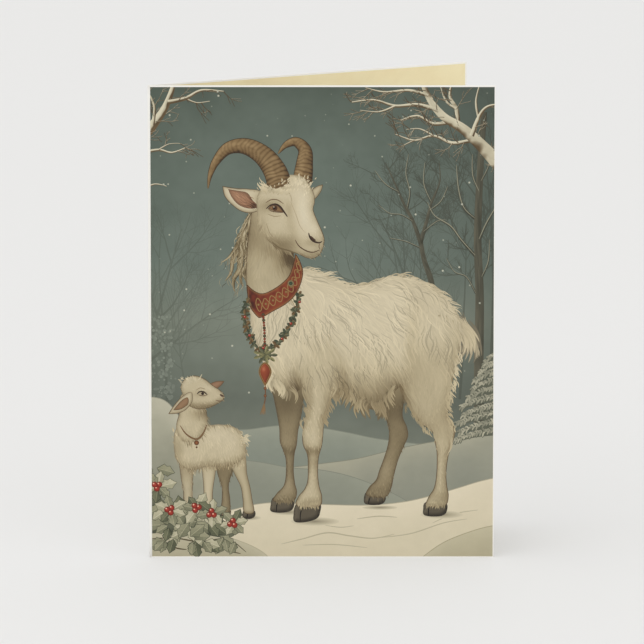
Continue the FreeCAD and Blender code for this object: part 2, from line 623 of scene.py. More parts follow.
def paint_far_trees(layer):
    """Misty bare trees, whose colour is mostly that of the sky behind them."""
    rng = np.random.default_rng(11)
    for start, degrees, length, width, strength in (
        ((6, 58), 91, 64, 1.2, 0.15),
        ((-3, 56), 84, 70, 1.5, 0.19),
        ((14, 56), 94, 40, 0.8, 0.11),
        ((109, 60), 97, 74, 1.4, 0.34),
        ((96, 60), 92, 66, 1.1, 0.26),
        ((125.5, 60), 91, 88, 1.6, 0.42),
        ((114, 60), 86, 66, 1.0, 0.30),
    ):
        twigs = []
        grow(twigs, rng, start, degrees, length, width, 3, 6, 34, 0.45)

        def colour(line, depth, strength=strength):
            share = np.full(len(line), strength + 0.06 * (depth > 1))
            return tint(sky_colour(line), ink(62, 64, 54), share)

        draw_twigs(layer, twigs, colour)
    frost = ink(150, 156, 142)
    for place in rng.uniform((0.5, 60), (8.5, 92), (150, 2)):
        shade = tint(sky_colour(place[None]), frost, np.array([rng.uniform(0.15, 0.5)]))[0]
        layer.dot(place + rng.normal(0, 0.4, 2), rng.uniform(0.25, 0.75), shade, None, 5, 7)


def trunk(layer, points, width, dark, light, seed, lift):
    """A tree's stem: a tapering band with bark streaks, lit from one side. A thin one ends in a point."""
    line = curve(points, step=1.2)
    widths = width * np.linspace(1.0, 0.55 if width > 2 else 0.1, len(line))

    def colour(share, place, facing):
        streaks = mottle(np.stack([place * 3.1, share * 24], axis=1), 1.0, seed)
        return tint(dark, light, 0.40 + 0.30 * facing + 0.26 * streaks)

    layer.band(line, widths, colour, 9, lift)
    return line


def paint_trees(layer):
    """The two nearer trees behind the goat, with a little snow along their larger branches."""
    rng = np.random.default_rng(5)
    dark, light, frost = ink(58, 58, 47), ink(112, 107, 89), ink(140, 137, 116)
    for points, width, boughs in (
        ([(121.2, 46), (121, 70), (121.2, 98), (120.4, 122), (121.4, 150), (122.6, 168)], 3.9, (
            ([(119.6, 114), (114.4, 120), (110.6, 125), (104.6, 129), (102, 134)], 1.3),
            ([(119.4, 128), (115.4, 132), (113.4, 139), (112.6, 148)], 1.2),
            ([(121, 120), (123.6, 126), (127.6, 133)], 1.2),
            ([(119.8, 100), (116.4, 106), (112, 108), (109, 113)], 0.8),
            ([(121, 138), (118.6, 144), (118.4, 152)], 1.0),
            ([(122, 106), (124.4, 112), (124.8, 120)], 0.9),
            ([(121.6, 142), (124.4, 148), (125.4, 156)], 0.8),
        )),
        ([(104.6, 92), (103.4, 104), (100.6, 113), (99.4, 120)], 2.7, ()),
        ([(99.6, 118.4), (96.6, 127), (93, 134), (90, 141), (86.4, 149)], 1.7, (
            ([(96.6, 127), (92.4, 129.4), (88, 130), (84, 133)], 0.7),
            ([(94.4, 131.6), (95.4, 138), (94, 145), (95, 152)], 0.9),
            ([(91.4, 138), (86.4, 141), (82.6, 146)], 0.8),
        )),
        ([(99.4, 119), (101.6, 127), (103.4, 134), (106.4, 142), (106, 150)], 1.6, (
            ([(102.6, 131), (106.8, 134.4), (109.4, 140)], 0.8),
            ([(103.4, 134), (100.6, 141), (101, 149)], 0.9),
            ([(100.4, 123), (105.6, 127), (109, 127.4)], 0.7),
            ([(99.4, 117), (94, 119.4), (88, 120.6)], 0.7),
        )),
    ):
        line = trunk(layer, points, width, dark, light, 21, 5)
        twigs = []
        for k in range(3, len(line) - 2, 3):
            if width < 2:
                degrees = 90 + rng.choice((-1, 1)) * rng.uniform(20, 60)
                grow(twigs, rng, line[k], degrees, 11, 0.5, 2, 4, 30, 0.5)
        for way, size in boughs:
            limb = curve(way, step=1.2)
            twigs.append((limb, size, 3))
            for k in range(3, len(limb), 3):
                degrees = side_way(rng, limb, k, 20, 45)
                grow(twigs, rng, limb[k], degrees, rng.uniform(7, 13), 0.42 * size, 2, 4, 30, 0.5)

        def colour(points, depth):
            share = np.full(len(points), 0.86 if depth > 2 else 0.5)
            return tint(sky_colour(points), dark, share)

        draw_twigs(layer, twigs, colour)
        for limb, size, depth in twigs:
            if depth == 3:
                raised = curve(limb, step=1.2) + np.array([-0.12, 0.26]) * size
                layer.line(raised, size * 0.3, frost, lift=6)


def snowy_limbs(layer, twigs):
    """Brown boughs with snow lying along their upper sides."""
    bark_dark, bark = ink(60, 49, 35), ink(108, 88, 60)
    snow_shade, snow = ink(172, 163, 137), ink(212, 204, 178)
    for number, (line, width, depth) in enumerate(sorted(twigs, key=lambda twig: twig[1])):
        path = curve(line, step=0.5 if width > 1.2 else 0.8)
        across = 6 + int(3 * width)
        widths = np.maximum(width * np.linspace(1, 0.28, len(path)), 0.2)
        rough = 0.22 * mottle(path, 4.0, 40) + 0.10 * mottle(path, 1.4, 41) + (0.18 if depth > 1 else -0.4)

        def colour(share, place, facing, rough=rough, across=across):
            cover = facing + np.repeat(rough, across)
            grain = mottle(np.stack([share * len(rough) * 0.2, place * 3], axis=1), 1.0, 42)
            wood = tint(bark_dark, bark, 0.45 - 0.5 * facing + 0.25 * grain)
            white = tint(snow_shade, snow, 0.25 + 1.3 * cover + 0.2 * grain)
            ease = np.clip((cover + 0.12) / 0.2, 0, 1)[:, None]
            return wood * (1 - ease) + white * ease

        layer.band(path, widths, colour, across, number % 5)


def paint_branches(layer):
    """Snow-laden boughs that reach in from the two top corners, with bare twigs at their ends."""
    rng = np.random.default_rng(29)
    boughs = (
        ([(131, 145), (123, 154), (115, 161.5), (108, 166), (103, 172), (99, 181)], 5.6),
        ([(111, 164.5), (104, 163.5), (98, 166.5), (92, 164.8)], 1.7),
        ([(106, 168.5), (98, 170.6), (90, 170.2), (82, 172.4), (74, 171.6)], 1.7),
        ([(90, 170.2), (84, 168), (77, 168.6)], 0.9),
        ([(102, 174), (95, 176), (86, 175.4), (79, 177)], 1.3),
        ([(113, 163), (112.4, 169), (110, 174), (111.4, 181)], 1.9),
        ([(112.4, 169), (108.6, 172), (106.4, 178)], 1.0),
        ([(118, 159), (120.6, 166), (124, 170), (131, 171)], 1.8),
        ([(120.6, 166), (119.6, 172), (121.4, 180)], 1.1),
        ([(119, 157.6), (111, 156.4), (104, 159), (97, 157.4), (90, 159.6)], 1.5),
        ([(104, 159), (99, 161.6), (94, 161.4)], 0.8),
        ([(97, 157.4), (92, 155)], 0.7),
        ([(-5, 156), (1, 163), (6, 170.6), (10, 182)], 4.4),
        ([(6.6, 171.6), (13, 173), (19, 176), (27, 175.6)], 1.7),
        ([(13, 173), (17, 171.4), (22, 172)], 0.8),
        ([(1, 163), (1.6, 170), (-1, 176)], 1.4),
        ([(-3, 152.6), (3, 153.8), (8, 152.8), (13, 154.6)], 1.3),
        ([(3, 153.8), (7, 156), (11, 156.2)], 0.6),
        ([(-3, 139.4), (2, 141), (6, 140.2)], 0.9),
    )
    twigs = []
    for points, width in boughs:
        line = curve(points, step=2.2)
        twigs.append((line, width, 3))
        for place in range(2, len(line)):
            if rng.random() < 0.55:
                degrees = side_way(rng, line, place, 25, 55)
                grow(twigs, rng, line[place], degrees, rng.uniform(4, 9), 0.36, 1, 3, 32)
    snowy_limbs(layer, twigs)


# ---------------------------------------------------------------- the picture: snow

def bank(layer, crest, near, far, depth, seed, lift, line_colour):
    """A bank of snow: everything below its crest, shaded from near the crest to depth below it."""
    line = curve(crest, step=1.5)
    outline = np.vstack([line, [(line[-1, 0], -20), (line[0, 0], -20)]])

    def colour(points):
        height = np.interp(points[:, 0], line[:, 0], line[:, 1]) - points[:, 1]
        share = 1 - np.exp(-np.clip(height, 0, 200) / depth)
        share = share + 0.10 * mottle(points, 9, seed) + 0.05 * mottle(points, 2.6, seed + 1)
        grain = 1.6 * mottle(points * np.array([0.45, 1.0]), 0.9, seed + 2)
        return tint(near, far, share) + grain[:, None]

    layer.fill(outline, colour, 1.5, lift)
    layer.line(line, 0.28, line_colour, False, lift + 1)


def paint_far_snow(layer):
    """The dim banks of snow behind the goat, the farthest first."""
    bank(layer, [(-4, 60), (4, 56), (13, 51.5), (24, 49.5), (34, 48.5), (47, 50), (60, 49.5), (72, 47.5),
                 (84, 45), (100, 43), (116, 42), (131, 41)],
         ink(148, 151, 135), ink(125, 131, 119), 10, 51, 0, ink(128, 131, 117))
    bank(layer, [(50, 34), (62, 35.5), (76, 37.5), (90, 41), (102, 43.5), (112, 45), (120, 46.5), (131, 49)],
         ink(164, 161, 141), ink(134, 136, 122), 11, 53, 3, ink(132, 131, 114))
    bank(layer, [(-4, 42), (6, 39), (16, 36.5), (28, 37.5), (40, 36.2), (52, 34), (64, 33), (76, 30),
                 (90, 24), (104, 16), (131, 6)],
         ink(146, 148, 132), ink(131, 134, 120), 10, 55, 6, ink(128, 130, 116))
    bank(layer, [(-4, 61), (2, 60.6), (6, 58.8), (10, 54), (14, 48.5), (18, 42), (20.4, 34), (20.8, 26),
                 (21, 16)],
         ink(184, 180, 159), ink(112, 114, 98), 32, 57, 9, ink(150, 148, 130))


def paint_near_snow(layer):
    """The bright snow underfoot, the hollows in it and the soft shadow under each hoof."""
    bank(layer, [(-4, 19), (10, 17.5), (24, 17), (38, 20), (47, 20.8), (60, 20.2), (79, 19.8), (93, 21),
                 (104, 23.5), (114, 26.5), (122, 29), (131, 31)],
         ink(219, 208, 182), ink(203, 193, 165), 16, 61, 0, ink(172, 164, 140))
    bank(layer, [(-4, 9), (12, 8.5), (24, 8.5), (33, 6), (41, 2), (47, -4)],
         ink(188, 181, 155), ink(168, 161, 134), 6, 63, 2, ink(172, 164, 138))
    bank(layer, [(96, -4), (101, 0.5), (108, 5.5), (116, 9), (124, 11.5), (131, 12.5)],
         ink(190, 182, 154), ink(172, 164, 136), 7, 65, 3, ink(160, 152, 124))
    hollow = ink(178, 169, 143)
    layer.lines((
        ([(48, 5), (56, 7), (65, 9.3), (73, 8.2), (82, 7.2), (90, 8.8)], 0.5, hollow),
        ([(56, 4.6), (68, 4.8), (80, 3.6)], 0.35, hollow),
        ([(76, 14.6), (84, 15.6), (91, 15.2)], 0.4, hollow),
        ([(84, 7.4), (96, 9), (108, 13), (117, 14.6)], 0.4, hollow),
        ([(104, 13), (112, 16.5), (121, 18)], 0.35, hollow),
        ([(64, 12.2), (70, 11.4), (75, 12)], 0.3, hollow),
    ), 0.8, 4)
    for centre, reach in (
        ((60.5, 13.6), (9, 1.6)), ((50.5, 17.2), (6.5, 1.2)), ((84.5, 18.9), (6.5, 0.8)),
        ((107.5, 16.2), (8, 1.5)), ((36.5, 15.0), (4, 0.9)),
    ):
        shadow(layer, centre, reach, 5)


def shadow(layer, centre, reach, lift):
    """A soft shadow on the snow, fading out from its middle."""
    rings, sides = 5, 28
    snow, dark = ink(207, 197, 170), ink(138, 130, 108)
    edge = arrows(np.arange(sides) / sides * math.tau) * reach
    points, colours = [np.array([centre])], [dark[None]]
    for ring in range(1, rings + 1):
        share = ring / rings
        points.append(centre + edge * share)
        colours.append(alike(lerp(dark, snow, share ** 0.8), sides))
    faces = [(0, 1 + k, 1 + (k + 1) % sides) for k in range(sides)]
    for ring in range(rings - 1):
        first = 1 + ring * sides
        faces += [
            (first + k, first + sides + k, first + sides + (k + 1) % sides, first + (k + 1) % sides)
            for k in range(sides)
        ]
    layer.add(np.vstack(points), np.vstack(colours), faces, lift)


def paint_bush(layer):
    """A frosted fir at the right edge: drooping boughs, each with short fingers weighed down by snow."""
    rng = np.random.default_rng(8)
    dark, frost = ink(92, 94, 79), ink(182, 177, 154)
    for height in np.arange(45, 76, 3.2):
        reach = np.interp(height, [45, 60, 76], [17, 10.5, 3.5]) * rng.uniform(0.85, 1.1)
        tip = np.array([127.6 - reach, height - 1.0])
        bough = curve([(129, height + 3.6), (127.6 - 0.5 * reach, height + 1.8), tip], step=0.9)
        layer.strokes(bough[None], np.linspace(4.4, 0.8, len(bough))[None], alike(dark, len(bough))[None])
        for number, place in enumerate(bough[1:]):
            for side in (-1, 1):
                degrees = 180 + side * rng.uniform(15, 60)
                end = place + rng.uniform(1.4, 1.9) * heading(degrees)
                finger = curve([place, (place + end) / 2 + (0, 0.5), end - (0, 0.3)], step=0.5)
                lift = 1 + number % 4
                layer.line(finger - (0, 0.3), 0.9, dark, lift=lift)
                shade = tint(dark, frost, np.array(rng.uniform(0.35, 0.95)))
                layer.line(finger, 0.62, shade, lift=lift + 4)


def paint_flakes(layer):
    """Snow in the air: small soft dots, scattered evenly over the sky."""
    rng = np.random.default_rng(17)
    places = lattice((2, 52), (125, 176), 8.5, rng)
    for place in places[(rng.random(len(places)) < 0.62) & (places[:, 1] > 62)]:
        strength = rng.uniform(0.25, 1.0) ** 1.5
        sky = sky_colour(place[None])[0]
        middle = lerp(sky, ink(216, 212, 190), strength)
        layer.dot(place, 0.16 + 0.28 * strength, middle, lerp(sky, middle, 0.35))


# ---------------------------------------------------------------- the picture: the goat

BODY = Form(
    [(36.2, 99), (36.6, 92), (37.8, 85), (40.2, 79), (42.6, 73.5), (44, 68.6), (46.6, 64.4), (51, 62.4),
     (57, 64), (64, 64), (68.6, 62.8), (73, 60.4), (78, 57.6), (82.6, 56), (86, 57.6), (89.4, 62.4), (94, 66),
     (101, 67), (107, 69), (110.8, 73), (113.3, 79), (114.8, 85), (114.4, 89.6), (111.8, 94), (108.4, 98),
     (104.6, 101.4), (100.2, 104.2), (95, 106), (89, 106.4), (83.4, 104.8), (78, 103), (73.4, 102.8),
     (68, 105), (63.2, 107.6), (58.4, 109), (53, 109.4), (44, 107)],
    12, level=0.80, depth=0.06, turn=0.10, rim=0.25, spots=(
        ((80, 55), (44, 16), -0.55), ((91.8, 62), (3, 5), -0.34), ((70.5, 68), (2.4, 8), -0.20),
        ((66.6, 76), (2.0, 8), -0.10), ((96.2, 82), (2.2, 12), -0.16), ((51, 62.5), (6, 5), -0.16),
        ((99, 93), (5, 8), -0.09), ((53, 90), (6, 14), -0.04), ((53.4, 65), (2.2, 7), -0.24),
        ((46, 96), (8, 3.5), -0.05), ((108, 78), (5, 9), -0.12),
    ),
)
NEAR_HIND = Form(
    [(94.2, 80), (92.6, 71), (92.8, 63), (95.6, 56.4), (99.8, 51), (104, 47.6), (105, 43.4), (105.7, 39),
     (105.5, 31), (104.6, 26.2), (102.6, 22.8), (102.1, 19.6), (108.5, 19.6), (109.9, 23.2), (109.3, 27.2),
     (109, 32), (109.7, 38), (110.9, 42), (112.2, 46.8), (111.8, 49.8), (109.8, 54), (110.2, 61), (111.8, 69),
     (113.4, 77), (114.4, 86), (108, 92), (98, 88)],
    4.0, level=0.55, depth=0.10, turn=0.16, rim=0.3, spots=(
        ((105, 88), (9, 8), 0.20), ((107, 51), (6, 5), -0.07), ((107.4, 33), (3, 9), 0.06),
        ((107, 23.4), (4, 2), -0.12), ((95, 66), (3, 9), -0.08),
    ),
)
FAR_HIND = Form(
    [(84, 66), (85, 57), (87, 52), (88, 48), (87.6, 43), (86.2, 38), (84.4, 33), (83.2, 29.4), (80.6, 26.6),
     (79.8, 23.6), (86.4, 23), (88.6, 26.2), (89.6, 31), (91.2, 37), (93.2, 42), (94.8, 46), (94.4, 49.6),
     (92.8, 54), (93.6, 61), (94, 68)],
    3.0, SHADED_COAT, 0.44, depth=0.08, turn=0.12, spots=(
        ((89, 56), (6, 6), -0.20), ((92, 45), (3, 4), -0.08), ((87, 33), (4, 5), 0.08),
        ((84, 25.4), (5, 1.6), -0.06),
    ),
)
NEAR_FORE = Form(
    [(55.6, 79), (57.2, 69), (57.8, 60), (57, 54), (56.3, 50), (55.9, 46), (56.2, 42.6), (57.7, 39),
     (58, 34), (57.8, 29), (56.6, 25.8), (54.4, 23), (53.9, 19.6), (61.9, 19.4), (63, 23), (62, 27),
     (61.5, 32), (61.8, 38), (63, 42.5), (63.5, 47), (63.9, 52), (65.4, 57), (67.6, 63), (69, 71), (68, 82),
     (61, 85)],
    3.0, level=0.62, depth=0.12, turn=0.16, rim=0.3, spots=(
        ((60, 40.4), (5, 1.7), -0.28), ((60, 36), (4, 2.4), -0.12), ((59, 21.5), (5, 1.5), -0.14),
        ((66, 62), (3, 8), -0.12), ((60, 46.6), (2.2, 2.4), 0.05), ((57.6, 38), (1.4, 6), -0.18),
    ),
)
FAR_FORE = Form(
    [(43.8, 70), (45.4, 60), (46.6, 54), (47.4, 49), (47.6, 44), (48.8, 40.6), (49.8, 37), (49.8, 31),
     (48.9, 27), (46.4, 24.2), (45.3, 21.4), (52.2, 21.4), (53.7, 24.6), (53, 28), (52.5, 33), (52.8, 39),
     (53.7, 43), (54.2, 48), (55.4, 54), (56.4, 62), (56, 72)],
    2.8, SHADED_COAT, 0.47, turn=0.12, spots=(
        ((50, 59), (7, 7), -0.26), ((51, 40.4), (4, 1.6), -0.15), ((50, 28), (3, 4), 0.08),
        ((49, 22), (4, 1.5), -0.08),
    ),
)
NECK = Form(
    [(38.5, 133), (36.4, 124), (35.4, 114), (35.2, 105), (36.2, 98), (41, 93.5), (47, 95), (52.5, 100),
     (54.2, 106), (53, 111.6), (52.2, 117), (50, 125), (46, 131)],
    6, level=0.53, depth=0.08, turn=0.16, rim=0.3, spots=(
        ((51, 115), (5, 5), -0.50), ((53.5, 106.5), (3, 6), -0.24), ((43.4, 117.4), (3, 2.2), -0.14),
        ((38.5, 122), (5, 6), -0.18),
    ),
)
HEAD = Form(
    [(44, 142.5), (41, 139.6), (39.2, 136), (39.2, 131.5), (40.4, 126), (42.6, 121), (46.5, 117.4),
     (51, 116), (54.6, 114.8), (57.6, 113.4), (60.4, 113.4), (62.4, 115), (63.3, 117), (63.9, 120.4),
     (63, 123.4), (61.2, 127.6), (59.8, 131.5), (60.3, 134), (60.2, 137), (58.6, 140.5), (56.3, 143.6),
     (52, 144.6), (48, 143.8)],
    4.4, level=0.67, depth=0.10, turn=0.16, rim=0.35, spots=(
        ((56.4, 131), (3.0, 9), 0.22), ((60.4, 124.6), (2.2, 3), 0.18), ((44.2, 133), (3.8, 2.4), -0.30),
        ((51, 131), (1.5, 4.2), -0.14), ((52.4, 124), (2.2, 4), -0.10), ((47.5, 119), (8, 3.4), -0.34),
        ((41.6, 125), (2.0, 7), -0.10), ((47, 140), (5, 1.8), -0.20), ((59.6, 119.4), (2.6, 1.8), -0.20),
        ((59, 114.8), (4, 1.4), -0.16), ((52, 138), (4, 3), 0.07), ((46.5, 136.8), (3, 1.2), 0.06),
    ),
)
NEAR_EAR = Form(
    [(41, 138), (36, 139.2), (31.6, 139.4), (26.6, 140.2), (26.6, 140.2), (27.4, 136.6), (29.8, 133.6),
     (33.4, 131), (37.4, 130.4), (41, 132.4)],
    2.0, level=0.76, turn=0.2, spots=(((40.5, 135), (2.4, 3), -0.3),),
)
INNER_EAR = Form(
    [(28.6, 139.2), (28.6, 139.2), (32, 138.6), (35.6, 137.8), (37.6, 135), (39.6, 132.6), (36.4, 131.9),
     (32.6, 133.2), (30, 136)],
    1.6, [ink(70, 48, 34), ink(116, 84, 62), ink(148, 112, 86), ink(172, 136, 106)], 0.58,
    (((38, 133.4), (2.5, 2), -0.5), ((31, 137), (2, 2), 0.2)), 0.4,
)
HOOF_TONES = [ink(40, 35, 28), ink(74, 67, 54), ink(103, 94, 77), ink(130, 121, 102)]
HORN_TONES = [ink(52, 38, 24), ink(92, 70, 43), ink(124, 100, 66), ink(156, 131, 93), ink(188, 164, 124)]

COAT_FLOW = flow([
    (58, 107, -30), (68, 104, -28), (80, 102, -22), (92, 105, -28), (104, 101, -42), (111, 94, -58),
    (60, 96, -70), (60, 80, -90), (73, 92, -52), (74, 76, -76), (76, 60, -88), (90, 90, -52), (88, 72, -80),
    (90, 62, -96), (99, 84, -92), (104, 88, -66), (110, 78, -80), (104, 58, -106), (96, 62, -70),
    (42, 88, -98), (43, 74, -80), (51, 68, -84), (57, 62, -88), (38, 112, -95), (46, 108, -84),
    (52, 102, -66), (70, 84, -66),
])


def downward(points):
    """A field that points straight down everywhere."""
    return np.full(len(points), -math.pi / 2)


def coat_colour(points):
    """The coat's colour where the hairs are rooted: that of the nearest form in front."""
    colours = BODY.colour(points)
    for form in (NEAR_HIND, NEAR_FORE):
        held = form.holds(points)
        if held.any():
            distance = nearest(form.outline, points[held])[0]
            share = np.clip(distance / 3.5, 0, 1)[:, None]
            colours[held] = lerp(colours[held], form.colour(points[held]), share)
    return colours


def hoof(layer, corners, cleft):
    """A cloven hoof: a dark horny toe with a lighter upper edge and the cleft drawn in."""
    form = Form(corners, 1.8, HOOF_TONES, 0.5, rim=0.6, depth=0.5)
    layer.fill(form.outline, form.colour, 0.7)
    layer.line(curve(cleft, step=0.4), 0.42, ink(24, 20, 16), lift=1)


def leg(layer, form, rng, fringe, lift=2):
    """A leg with its short hair, and a fringe over the hoof: from left to right at a height."""
    layer.fill(form.outline, form.colour, 0.9, lift)
    contour(layer, form, keep=lambda line: line[:, 1] < 62, lift=lift + 1)
    roots = form.roots(1.15, rng, 0.3)
    roots = roots[roots[:, 1] < 60]
    fur(layer, roots, downward, 2.2, 0.24, form.colour(roots), rng, 0.2, 4, lift + 1, gain=0.2)
    left, right, height = fringe
    count = 34
    tufts = np.stack([rng.uniform(left, right, count), rng.uniform(height, height + 2.2, count)], axis=1)
    fur(layer, tufts, downward, 1.9, 0.4, form.colour(tufts), rng, 0.3, 4, lift + 3, gain=0.25)


def paint_far_side(layer):
    """What lies behind the body: the two far legs, the far horn and ear, and the tail."""
    rng = np.random.default_rng(31)
    hoof(layer, [(79.8, 25), (86, 24.2), (86.6, 21.6), (84.6, 20), (80.2, 20), (78.6, 21.2)],
         [(81.4, 24.4), (80.6, 22), (80.4, 20.2)])
    hoof(layer, [(45.4, 23), (52.2, 23), (52.8, 19.8), (51.4, 17.6), (47.4, 16.9), (44.2, 17.5), (44, 19.4)],
         [(47.6, 22.6), (46.4, 20), (46.2, 17.2)])
    leg(layer, FAR_HIND, rng, (80.4, 86, 24.4))
    leg(layer, FAR_FORE, rng, (46, 52.4, 21.8))
    horn(layer, [(55.8, 141.5), (56.6, 148), (56.8, 153.6), (53.6, 156.8), (49.8, 155.6), (47.0, 152.4)],
         [7.4, 6.6, 5.4, 4.0, 2.5, 0.3], 19)
    ear = Form([(59.5, 138.6), (61.4, 140.2), (63.4, 140.8), (63.4, 140.8), (62.6, 138.2), (60.2, 135.4)],
               1.2, level=0.6)
    layer.fill(ear.outline, ear.colour, 0.6)
    contour(layer, ear, 0.2)
    tail_flow = flow([(111, 94, -45), (115, 89, -58), (117.5, 83, -74), (115.5, 76, -92), (120, 82, -55)])
    for shade, length, spread, level in ((0.60, 14.5, 2.4, 0), (0.84, 13.5, 2.4, 1), (0.98, 10.5, 1.6, 2)):
        places = rng.normal((114.2, 88.6), (1.0, 1.8), (15, 2))
        colours = alike(ink(198, 184, 152) * shade, len(places))
        locks(layer, places, tail_flow, length, spread, 0.4, colours, rng, 0.35, 5, 11 * level, 0.06)


def horn(layer, points, sizes, ribs):
    """A ringed horn: a tapering band whose rings fade towards the tip."""
    line = curve(points, step=0.25)
    spots = np.linspace(0, 1, len(sizes))
    widths = np.interp(np.linspace(0, 1, len(line)), spots, sizes)

    def colour(share, place, facing):
        wander = 0.5 * mottle(np.stack([share * 14, place * 1.2], axis=1), 1.0, 82)
        ring = np.cos(math.tau * (ribs * share ** 0.85 + 0.4 * place ** 2 + wander))
        grain = mottle(np.stack([share * 30, place * 4.2], axis=1), 1.0, 81)
        groove = np.clip(-ring, 0, 1) ** 4
        strength = np.clip(1.1 - 1.15 * share, 0, 1)
        value = 0.60 + 0.30 * facing + (0.08 * ring - 0.22 * groove) * strength - 0.36 * np.abs(place) ** 3
        value = value - 0.06 * share + 0.10 * grain - 0.3 * np.exp(-share / 0.04)
        return ramp(value, HORN_TONES)

    layer.band(line, widths, colour, 13)
    for side in (-1, 1):
        layer.line(line + side * leftward(line) * widths[:, None] / 2, 0.22, ink(60, 46, 32), lift=1)


def paint_body(layer):
    """The body's flat shading, which the coat is drawn over."""
    layer.fill(BODY.outline, coat_colour, 1.2)


def paint_near_legs(layer):
    """The two near legs and their hooves."""
    rng = np.random.default_rng(33)
    hoof(layer, [(101.6, 21), (108.8, 20.8), (109.4, 17.6), (107.6, 15.8), (103.6, 15.5), (100.8, 16.2),
                 (100.6, 18.2)],
         [(103.6, 20.6), (102.6, 18), (102.6, 15.6)])
    hoof(layer, [(54, 20.6), (62, 20.8), (62.4, 17), (61, 14.6), (56.6, 13.3), (53, 13.5), (52.5, 15.8)],
         [(56.6, 20.4), (55.2, 17), (55, 13.6)])
    leg(layer, NEAR_HIND, rng, (102, 108.6, 20.0))
    leg(layer, NEAR_FORE, rng, (54.6, 62, 19.6))


def edge_roots(outline, rng, count, boxes):
    """Places along an outline that fall in any of the boxes, each (low u, high u, low v, high v)."""
    u, v = outline.T
    kept = np.zeros(len(outline), bool)
    for low_u, high_u, low_v, high_v in boxes:
        kept |= (u > low_u) & (u < high_u) & (v > low_v) & (v < high_v)
    places = outline[kept]
    return places[rng.integers(0, len(places), count)] + rng.normal(0, 0.5, (count, 2))


def coat_fur(layer, roots, length, width, tone, rng, wave=0.35, lift=0, vary=0.02):
    """The body's own hair, whose colour follows the shading of the coat from root to tip."""
    overhang = 1.6
    lines = strands(roots, COAT_FLOW, length, rng, wave, 9)
    ends = lines[:, -1]
    kept = nearest(BODY.outline, ends)[0] < overhang
    for form in (BODY, NEAR_HIND, NEAR_FORE):
        kept |= form.holds(ends)
    lines = lines[kept]
    colours = np.stack([coat_colour(lines[:, 0]), coat_colour(lines[:, 6])], axis=1)
    brush(layer, lines, width, np.minimum(colours * tone, WHITEST), rng, lift, vary=vary)


COAT_RNG = np.random.default_rng(37)    # shared by the three layers of the coat
BELLY_EDGE = ((43, 53, 60, 76), (66, 90, 54, 66))


def paint_undercoat(layer):
    """Broad soft hair all over the body, and the shaded locks under the belly and the chest."""
    coat_fur(layer, BODY.roots(1.7, COAT_RNG), 8.0, 0.75, 0.98, COAT_RNG)
    fringe = edge_roots(BODY.outline, COAT_RNG, 70, BELLY_EDGE) + (0, 2.5)
    locks(layer, fringe, COAT_FLOW, 6.2, 1.6, 0.4, coat_colour(fringe) * 0.92, COAT_RNG, 0.5, 5, 10)


def paint_overcoat(layer):
    """Finer hair all over the body, and the wisps along its back."""
    coat_fur(layer, BODY.roots(1.9, COAT_RNG), 10.0, 0.5, 1.01, COAT_RNG, 0.36, vary=0.03)
    back = edge_roots(BODY.outline, COAT_RNG, 200, ((55, 113, 92, 112),)) - (0, 0.5)
    back_flow = flow([(58, 109, -8), (70, 104, 0), (84, 104, 18), (98, 105, -4), (108, 99, -26),
                      (114, 90, -50)])
    fur(layer, back, back_flow, 4.4, 0.34, coat_colour(back) * 1.04, COAT_RNG, 0.4, 7, 10)


def paint_locks(layer):
    """The hair on the thighs, the wisps along the edges, and the coat's dark creases and lights."""
    rng = COAT_RNG
    for form, low, high, length in ((NEAR_HIND, 44, 80, 5.5), (NEAR_FORE, 48, 76, 5.0)):
        roots = form.roots(1.5, rng)
        roots = roots[(roots[:, 1] > low) & (roots[:, 1] < high)]
        coat_fur(layer, roots, length, 0.5, 1.0, rng)
    hind = edge_roots(NEAR_HIND.outline, rng, 190, ((108, 116, 50, 78), (92, 103, 49, 66)))
    hind_flow = flow([(110, 70, -72), (111, 60, -70), (111, 48, -76), (95, 60, -84), (101, 50, -80)])
    fur(layer, hind, hind_flow, 2.8, 0.34, coat_colour(hind) * 1.08, rng, 0.4, 6, 9)
    fore = edge_roots(NEAR_FORE.outline, rng, 40, ((63, 70, 52, 72), (56, 59, 50, 60)))
    locks(layer, fore, COAT_FLOW, 4.2, 1.0, 0.3, coat_colour(fore) * 1.06, rng, 0.6, 4, 9)
    fringe = edge_roots(BODY.outline, rng, 80, BELLY_EDGE) + (0, 2.5)
    locks(layer, fringe, COAT_FLOW, 6.4, 1.1, 0.3, coat_colour(fringe + (0, 3)) * 1.06, rng, 0.6, 4, 9)
    creases = BODY.roots(2.3, rng, 1.0)
    creases = creases[mottle(creases, 6.0, 77) + 0.012 * (85 - creases[:, 1]) > 0.1]
    coat_fur(layer, creases, 9.0, 0.32, 0.86, rng, 0.5, 18)
    lights = BODY.roots(2.8, rng, 1.0)
    lights = lights[mottle(lights, 6.0, 78) > -0.1]
    coat_fur(layer, lights, 8.0, 0.4, 1.055, rng, 0.45, 20)


